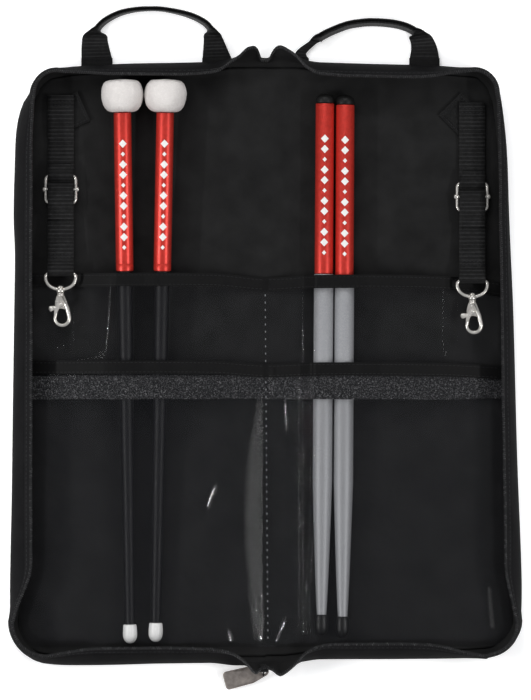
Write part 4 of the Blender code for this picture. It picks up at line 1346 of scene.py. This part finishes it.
def handle(name):
    """A carrying handle: flat legs that fold sharply on edge into a grip of half their width."""
    side = SIDES[name]
    shape = HANDLES[name]
    hinge_z = HANDLE_HINGE[1]
    path = resample(curve_through([Vector((u, y, 0)) for u, y in shape["line"]], 24), BAND_STEP)
    count = len(path)
    run = (count - 1) * BAND_STEP
    leg_length = 0.0165
    places, frames, widths, thicks, grooves = [], [], [], [], []
    for i, point in enumerate(path):
        first = i < count / 2
        along = (path[min(i + 4, count - 1)] - path[max(i - 4, 0)]).normalized()
        outward = Vector((along.y, -along.x, 0))
        gone = min(i * BAND_STEP, run - i * BAND_STEP)
        leg = 1 - smooth((gone - leg_length) / 0.0080)
        straight = Vector((1, 0, 0)) if first else Vector((-1, 0, 0))
        out = outward.lerp(straight, 0.75 * smooth(leg * 1.6)).normalized()
        if out.dot(outward) < 0:
            out = -out
        apex, flank = shape["turn"]
        twist = (1 - leg) * math.radians(lerp(flank, apex, math.sin(math.pi * i / count) ** 4))
        base, fold = shape["legs"][0 if first else 1]
        width = lerp(0.0110, lerp(base, fold, min(gone / leg_length, 1.0)), leg)
        thick = lerp(shape["thick"], 0.0017, leg)
        flat = out * math.cos(twist) + UP * math.sin(twist)
        face = UP * math.cos(twist) - out * math.sin(twist)
        lowest = (width * math.sin(twist) + thick * math.cos(twist)) / 2
        centre = point + UP * max(hinge_z, 0.0064 * (1 - leg), lowest + 0.0004)
        places.append(Vector((side * centre.x, centre.y, centre.z)))
        frames.append((Vector((side * flat.x, flat.y, flat.z)), Vector((side * face.x, face.y, face.z))))
        widths.append(width)
        thicks.append(thick)
        grooves.append(0.0030 * (1 - leg))
    rings = web_rings(places, frames, widths, thicks, RIB_PITCH, grooves)
    # The rib tops take the lighter webbing as a painted highlight.
    piece = rings_object(f"{name}_carry_handle", rings, [WEBBING, RIB_HIGHLIGHT], angle=60, tone=on_rib_highlight(RIB_PITCH))
    dress(piece, f"{name}_handle", "webbing", f"{name}_handle")
    dress(handle_roots(name), f"{name}_half", "webbing")


def handle_roots(name):
    """The ends of a handle's legs, where they go under the wall."""
    shape = HANDLES[name]
    mesh = bmesh.new()
    ends = ((shape["line"][0], shape["legs"][0]), (shape["line"][-1], shape["legs"][1]))
    for (u, _), (base, _) in ends:
        run = spread_pairs((0.2218, 0.0042), (0.2292, HANDLE_HINGE[1]), 16)
        line = [Vector((SIDES[name] * u, y, z)) for y, z in run]
        count = len(line)
        frames = [(Vector((1, 0, 0)), UP)] * count
        add_rings(mesh, web_rings(line, frames, [base * 1.02] * count, [0.0019] * count, RIB_PITCH))
    return finish_mesh(f"{name}_handle_roots", mesh, [WEBBING], 60)


# ---------------------------------------------------------------- sticks


def stick_at(name):
    """A stick's frame, with Y along it from its tip, and its length."""
    low, high, _ = STICKS[name]
    tip, top = Vector(low), Vector(high)
    along = (top - tip).normalized()
    across = along.cross(UP).normalized()
    at = Matrix((across, along, across.cross(along))).transposed().to_4x4()
    at.translation = tip
    return at, (top - tip).length


def turned_piece(stick_name, part, node, slot, profile, at, material, segments=40):
    """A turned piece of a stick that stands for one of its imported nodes."""
    mesh = bmesh.new()
    add_turned(mesh, profile, at, segments)
    made = finish_mesh(f"{stick_name}_{part}", mesh, [material], 35)
    dress(made, stick_name, slot, f"{stick_name}_{node}")


def tip_profile(radius, length, neck):
    """A flat-topped acorn, rounded at its free end."""
    made = [(0.0, 0.0)]
    for i in range(1, 9):
        a = math.pi / 2 * i / 8
        made.append((radius * math.sin(a) ** 0.9, length * 0.48 * (1 - math.cos(a))))
    for t in (0.15, 0.35, 0.55, 0.75, 0.90):
        made.append((radius * (1 - 0.10 * t * t), length * lerp(0.48, 1.0, t)))
    return [*made, (radius * 0.87, length - 0.0002), (neck, length)]


def marks(name, at, radius, start, length):
    """Plain printed lozenges in a row up a grip, facing up."""
    mesh = bmesh.new()
    skin = radius + 0.00006

    def patch_at(outline):
        corners = []
        for across, y in outline:
            a = math.pi / 2 + across / radius
            corners.append(mesh.verts.new(at @ Vector((skin * math.cos(a), y, skin * math.sin(a)))))
        mesh.faces.new(corners)

    pitch = 0.0078
    count = int(length / pitch)
    for i in range(count):
        middle = start + pitch * (i + 0.5)
        wide, long = (0.0030, 0.0031) if i % 3 else (0.0016, 0.0018)
        steps = 6
        for k in range(-steps, steps):
            a0, a1 = wide * k / steps, wide * (k + 1) / steps
            l0, l1 = long * (1 - abs(k) / steps), long * (1 - abs(k + 1) / steps)
            corners = [(a0, middle - l0), (a1, middle - l1), (a1, middle + l1), (a0, middle + l0)]
            if l0 == 0:
                corners = [(a0, middle), (a1, middle - l1), (a1, middle + l1)]
            if l1 == 0:
                corners = [(a0, middle - l0), (a1, middle), (a0, middle + l0)]
            patch_at(corners)
    solid = bmesh.ops.extrude_face_region(mesh, geom=list(mesh.faces))
    axis = at.to_3x3() @ Vector((0, 1, 0))
    origin = at.translation
    for v in (g for g in solid["geom"] if isinstance(g, bmesh.types.BMVert)):
        spoke = v.co - origin
        spoke -= axis * spoke.dot(axis)
        v.co -= spoke.normalized() * 0.0001
    dress(finish_mesh(f"{name}_grip_print", mesh, [PRINT], 30), name, "white_nylon")


def mallet(name):
    """A mallet: nylon tip, black tapered shaft, red grip with a groove, and its felt head."""
    at, length = stick_at(name)
    tip = tip_profile(0.0054, 0.0145, 0.0027)
    turned_piece(name, "nylon_tip", "tip", "white_nylon", tip, at, WHITE_NYLON)
    head_r, head_l = 0.0161, 0.0250
    head_start = length - head_l
    grip_start = head_start - 0.1195
    shaft = [(0.0037, 0.0146)]
    shaft += spread_pairs((0.0037, 0.0146), (0.0058, grip_start - 0.0002), 10)[1:]
    turned_piece(name, "black_shaft", "shaft", "black_shaft", shaft, at, BLACK_SHAFT)
    grip = [(0.0060, grip_start), (0.0064, grip_start + 0.0003), (0.0066, grip_start + 0.0010)]
    grip += [(0.0066, grip_start + 0.0050), (0.00645, grip_start + 0.0054), (0.0066, grip_start + 0.0058)]
    grip += [(0.0066, head_start - 0.0006), (0.0062, head_start - 0.0002)]
    turned_piece(name, "red_grip", "grip", "red_anodised", grip, at, RED, 48)
    marks(name, at, 0.0066, grip_start + 0.014, 0.0900)
    felt_head(name, at, head_r, head_l, head_start)


def felt_head(name, at, radius, length, start):
    """A soft wound-felt barrel with round shoulders, dimpled where the shaft goes in."""
    profile = [(0.0, length + 0.0002), (0.0030, length + 0.0001), (0.0058, length - 0.0002)]
    for i in range(15):
        a = math.pi / 2 - math.pi * i / 14
        round_r = 0.0078 if a > 0 else 0.0098
        r = radius - round_r + round_r * max(math.cos(a), 0.0) ** 0.75
        profile.append((r, length * 0.54 + length * (0.44 if a > 0 else 0.54) * math.sin(a)))
    profile += [(0.0045, 0.0003), (0.0, 0.0009)]
    mesh = bmesh.new()
    add_turned(mesh, [(r, start + y) for r, y in profile[::-1]], at, 56)
    head = finish_mesh(f"{name}_felt_head", mesh, [FELT], 80, subdivide=1)
    middle = at @ Vector((0, start + length / 2, 0))
    for v in head.data.vertices:
        away = (v.co - middle).normalized()
        v.co += away * (0.00035 * noise.noise(v.co * 160) + 0.00018 * noise.noise(v.co * 600) - 0.0002)
    dress(head, name, "felt", f"{name}_head")


def stick(name):
    """A plain stick: nylon tip, grey tapered shaft, red grip and a rounded butt cap."""
    at, length = stick_at(name)
    tip = tip_profile(0.0052, 0.0162, 0.0036)
    turned_piece(name, "nylon_tip", "tip", "black_nylon", tip, at, BLACK_NYLON)
    cap_start = length - 0.0073
    grip_start = cap_start - 0.1285
    shaft = [(0.0036, 0.0163)]
    shaft += [(lerp(0.0036, 0.0074, (i / 12) ** 0.8), lerp(0.0163, 0.1172, i / 12)) for i in range(1, 13)]
    shaft += [(0.0074, grip_start - 0.0009), (0.0070, grip_start - 0.0003)]
    turned_piece(name, "alloy_shaft", "shaft", "silver_shaft", shaft, at, SILVER_SHAFT, 48)
    radius = 0.0070
    grip = [(0.0067, grip_start), (radius, grip_start + 0.0004), (radius, cap_start - 0.0008)]
    grip.append((0.0067, cap_start - 0.0003))
    turned_piece(name, "red_grip", "grip", "red_anodised", grip, at, RED, 48)
    marks(name, at, radius, grip_start + 0.012, 0.1000)
    cap = [(0.0064, cap_start), (radius, cap_start + 0.0005), (radius, cap_start + 0.0024)]
    for i in range(1, 8):
        a = math.pi / 2 * i / 8
        cap.append((radius * math.cos(a), cap_start + 0.0024 + 0.0049 * math.sin(a)))
    cap.append((0.0, cap_start + 0.0073))
    turned_piece(name, "butt_cap", "cap", "black_nylon", cap, at, BLACK_NYLON)


# ---------------------------------------------------------------- zip slider and pull


def zip_pull():
    """The flat pull: slightly dished, with bevelled edges, a plain raised border and a round eye."""
    at = Matrix.Translation((-0.0012, -0.2336, 0)) @ Matrix.Rotation(math.radians(194.0), 4, "Z")
    outline = arc((0, 0), 0.0037, 270, 90, 12)
    outline += [(0.0050, 0.0052), (0.0100, 0.0066)]
    outline += arc((0.0280, 0.0040), 0.0030, 80, 20, 5) + arc((0.0280, -0.0040), 0.0030, -20, -80, 5)
    outline += [(0.0100, -0.0066), (0.0050, -0.0052)]
    dense = resample([Vector((*p, 0)) for p in [*outline, outline[0]]], 0.0011)
    round_count = 64
    edge = [dense[round(i * (len(dense) - 1) / round_count)] for i in range(round_count)]
    eye_radius = 0.0018

    # The plate's section from the eye out and back, as (share of the way to the edge, z).
    section = ((0.0, 0.0033), (0.0, 0.0043), (0.10, 0.0046), (0.80, 0.0046), (0.86, 0.0043), (0.92, 0.0046))
    section += ((0.97, 0.0046), (1.0, 0.0043), (1.0, 0.0034), (0.97, 0.0031), (0.10, 0.0031))
    rings = []
    for share, z in section:
        ring_points = []
        for p in edge:
            q = (p.normalized() * eye_radius).lerp(p, share)
            dish = 0.0004 * smooth((q.x - 0.006) / 0.02) * (1 - (q.y / 0.0068) ** 2)
            ring_points.append(at @ Vector((q.x, q.y, z - dish)))
        rings.append(ring_points)
    mesh = bmesh.new()
    add_rings(mesh, rings, joined=True)
    dress(finish_mesh("zip_pull_plate", mesh, [GUNMETAL]), "zip_pull", "gunmetal", "zip_pull_tab")


def zip_slider():
    """The slider: two plates on a post, with the bridge that the pull hangs from."""
    mesh = bmesh.new()
    at = Matrix.Translation((-0.0015, -0.2358, 0))
    wedge = [(-0.0030, 0.0022), (0.0030, 0.0022), (0.0036, 0.0034)]
    wedge += [(0.0022, 0.0078), (-0.0022, 0.0078), (-0.0036, 0.0034)]
    outline_plate(mesh, at, smooth_loop(wedge, 5), (0.0070, 0.0086), 0.0005)
    outline_plate(mesh, at, smooth_loop(wedge, 5), (0.0136, 0.0152), 0.0005)
    post = [(-0.0012, 0.0030), (0.0012, 0.0030), (0.0012, 0.0070), (-0.0012, 0.0070)]
    outline_plate(mesh, at, smooth_loop(post, 4), (0.0080, 0.0142), 0.0003)
    bridge = ((0.0074, 0.0074), (0.0060, 0.0056), (0.0030, 0.0050), (0.0004, 0.0056), (-0.0006, 0.0072))
    add_tube(mesh, [at @ Vector((0, y, z)) for y, z in bridge], 0.0007, 12, up=Vector((1, 0, 0)))
    dress(finish_mesh("zip_slider", mesh, [BLACK_NYLON]), "spine", "black_nylon", "zip_slider_body")


# ---------------------------------------------------------------- stage


def light(name, energy, place, target, size, up="Y"):
    """A rectangular lamp of (width, length) at a place, turned to a target."""
    data = bpy.data.lights.new(name, "AREA")
    data.energy = energy
    data.shape = "RECTANGLE"
    data.size, data.size_y = size
    obj = bpy.data.objects.new(name, data)
    obj.location = place
    obj.rotation_euler = (Vector(target) - Vector(place)).to_track_quat("-Z", up).to_euler()
    bpy.context.scene.collection.objects.link(obj)
    return obj


def stage():
    """The pale floor, the soft light round it and the lamps."""
    mesh = bmesh.new()
    corners = [mesh.verts.new((x, y, -0.0002)) for x, y in ((-6, -6), (6, -6), (6, 6), (-6, 6))]
    mesh.faces.new(corners)
    data = bpy.data.meshes.new("floor")
    mesh.to_mesh(data)
    mesh.free()
    floor = bpy.data.objects.new("floor", data)
    bpy.context.scene.collection.objects.link(floor)
    glow = {"Emission_Color": (1, 1, 1, 1), "Emission_Strength": 0.30}
    data.materials.append(Look("pale_floor", (0.96, 0.96, 0.96), 0.9, **glow).material)

    world = bpy.data.worlds.new("studio")
    bpy.context.scene.world = world
    world.use_nodes = True
    background = world.node_tree.nodes["Background"]
    background.inputs["Color"].default_value = (0.93, 0.95, 1.0, 1)
    background.inputs["Strength"].default_value = 0.23

    middle = (0, 0, 0)
    key = light("key", 15.5, (-0.45, 0.95, 1.45), middle, (1.1, 1.1))
    fill = light("fill", 5.6, (0.8, -0.7, 1.7), middle, (1.2, 1.2))
    key.visible_glossy = False
    fill.visible_glossy = False
    # Thin strips and faint panels to the sides, which only the clear pockets and the metal pick out.
    light("strip_right", 4.4, (0.85, -0.24, 0.80), (0, -0.24, 0), (0.03, 0.44), "X")
    light("strip_left", 4.4, (-0.85, -0.19, 0.62), (0, -0.19, 0), (0.03, 0.46), "X")
    light("panel_right", 1.1, (0.80, -0.05, 0.95), (0, -0.05, 0), (0.25, 0.6), "X")
    light("panel_left", 0.9, (-0.80, 0.0, 0.80), middle, (0.25, 0.6), "X")
    light("strip_top", 3.0, (0.0, 1.2, 0.9), middle, (0.8, 0.08))
    look_down()


def look_down():
    """The camera: straight above, far off, with the photo's height in view."""
    distance = 6.0
    height_in_view = 0.5285
    centre_y = 0.0090
    camera = bpy.data.cameras.new("camera")
    camera.type = "PERSP"
    camera.sensor_fit = "AUTO"
    camera.sensor_width = 36.0
    camera.lens = camera.sensor_width * distance / height_in_view
    camera.clip_end = 20
    holder = bpy.data.objects.new("camera", camera)
    holder.location = (0, centre_y, distance)
    bpy.context.scene.collection.objects.link(holder)
    bpy.context.scene.camera = holder
    bpy.context.scene.view_settings.view_transform = "Standard"


for half in SIDES:
    half_panels(half)
    half_wall(half)
    pockets(half)
    strap(half)
    handle(half)
centre_stitching()
for number in (1, 2):
    mallet(f"mallet_{number}")
    stick(f"stick_{number}")
zip_pull()
zip_slider()
stage()
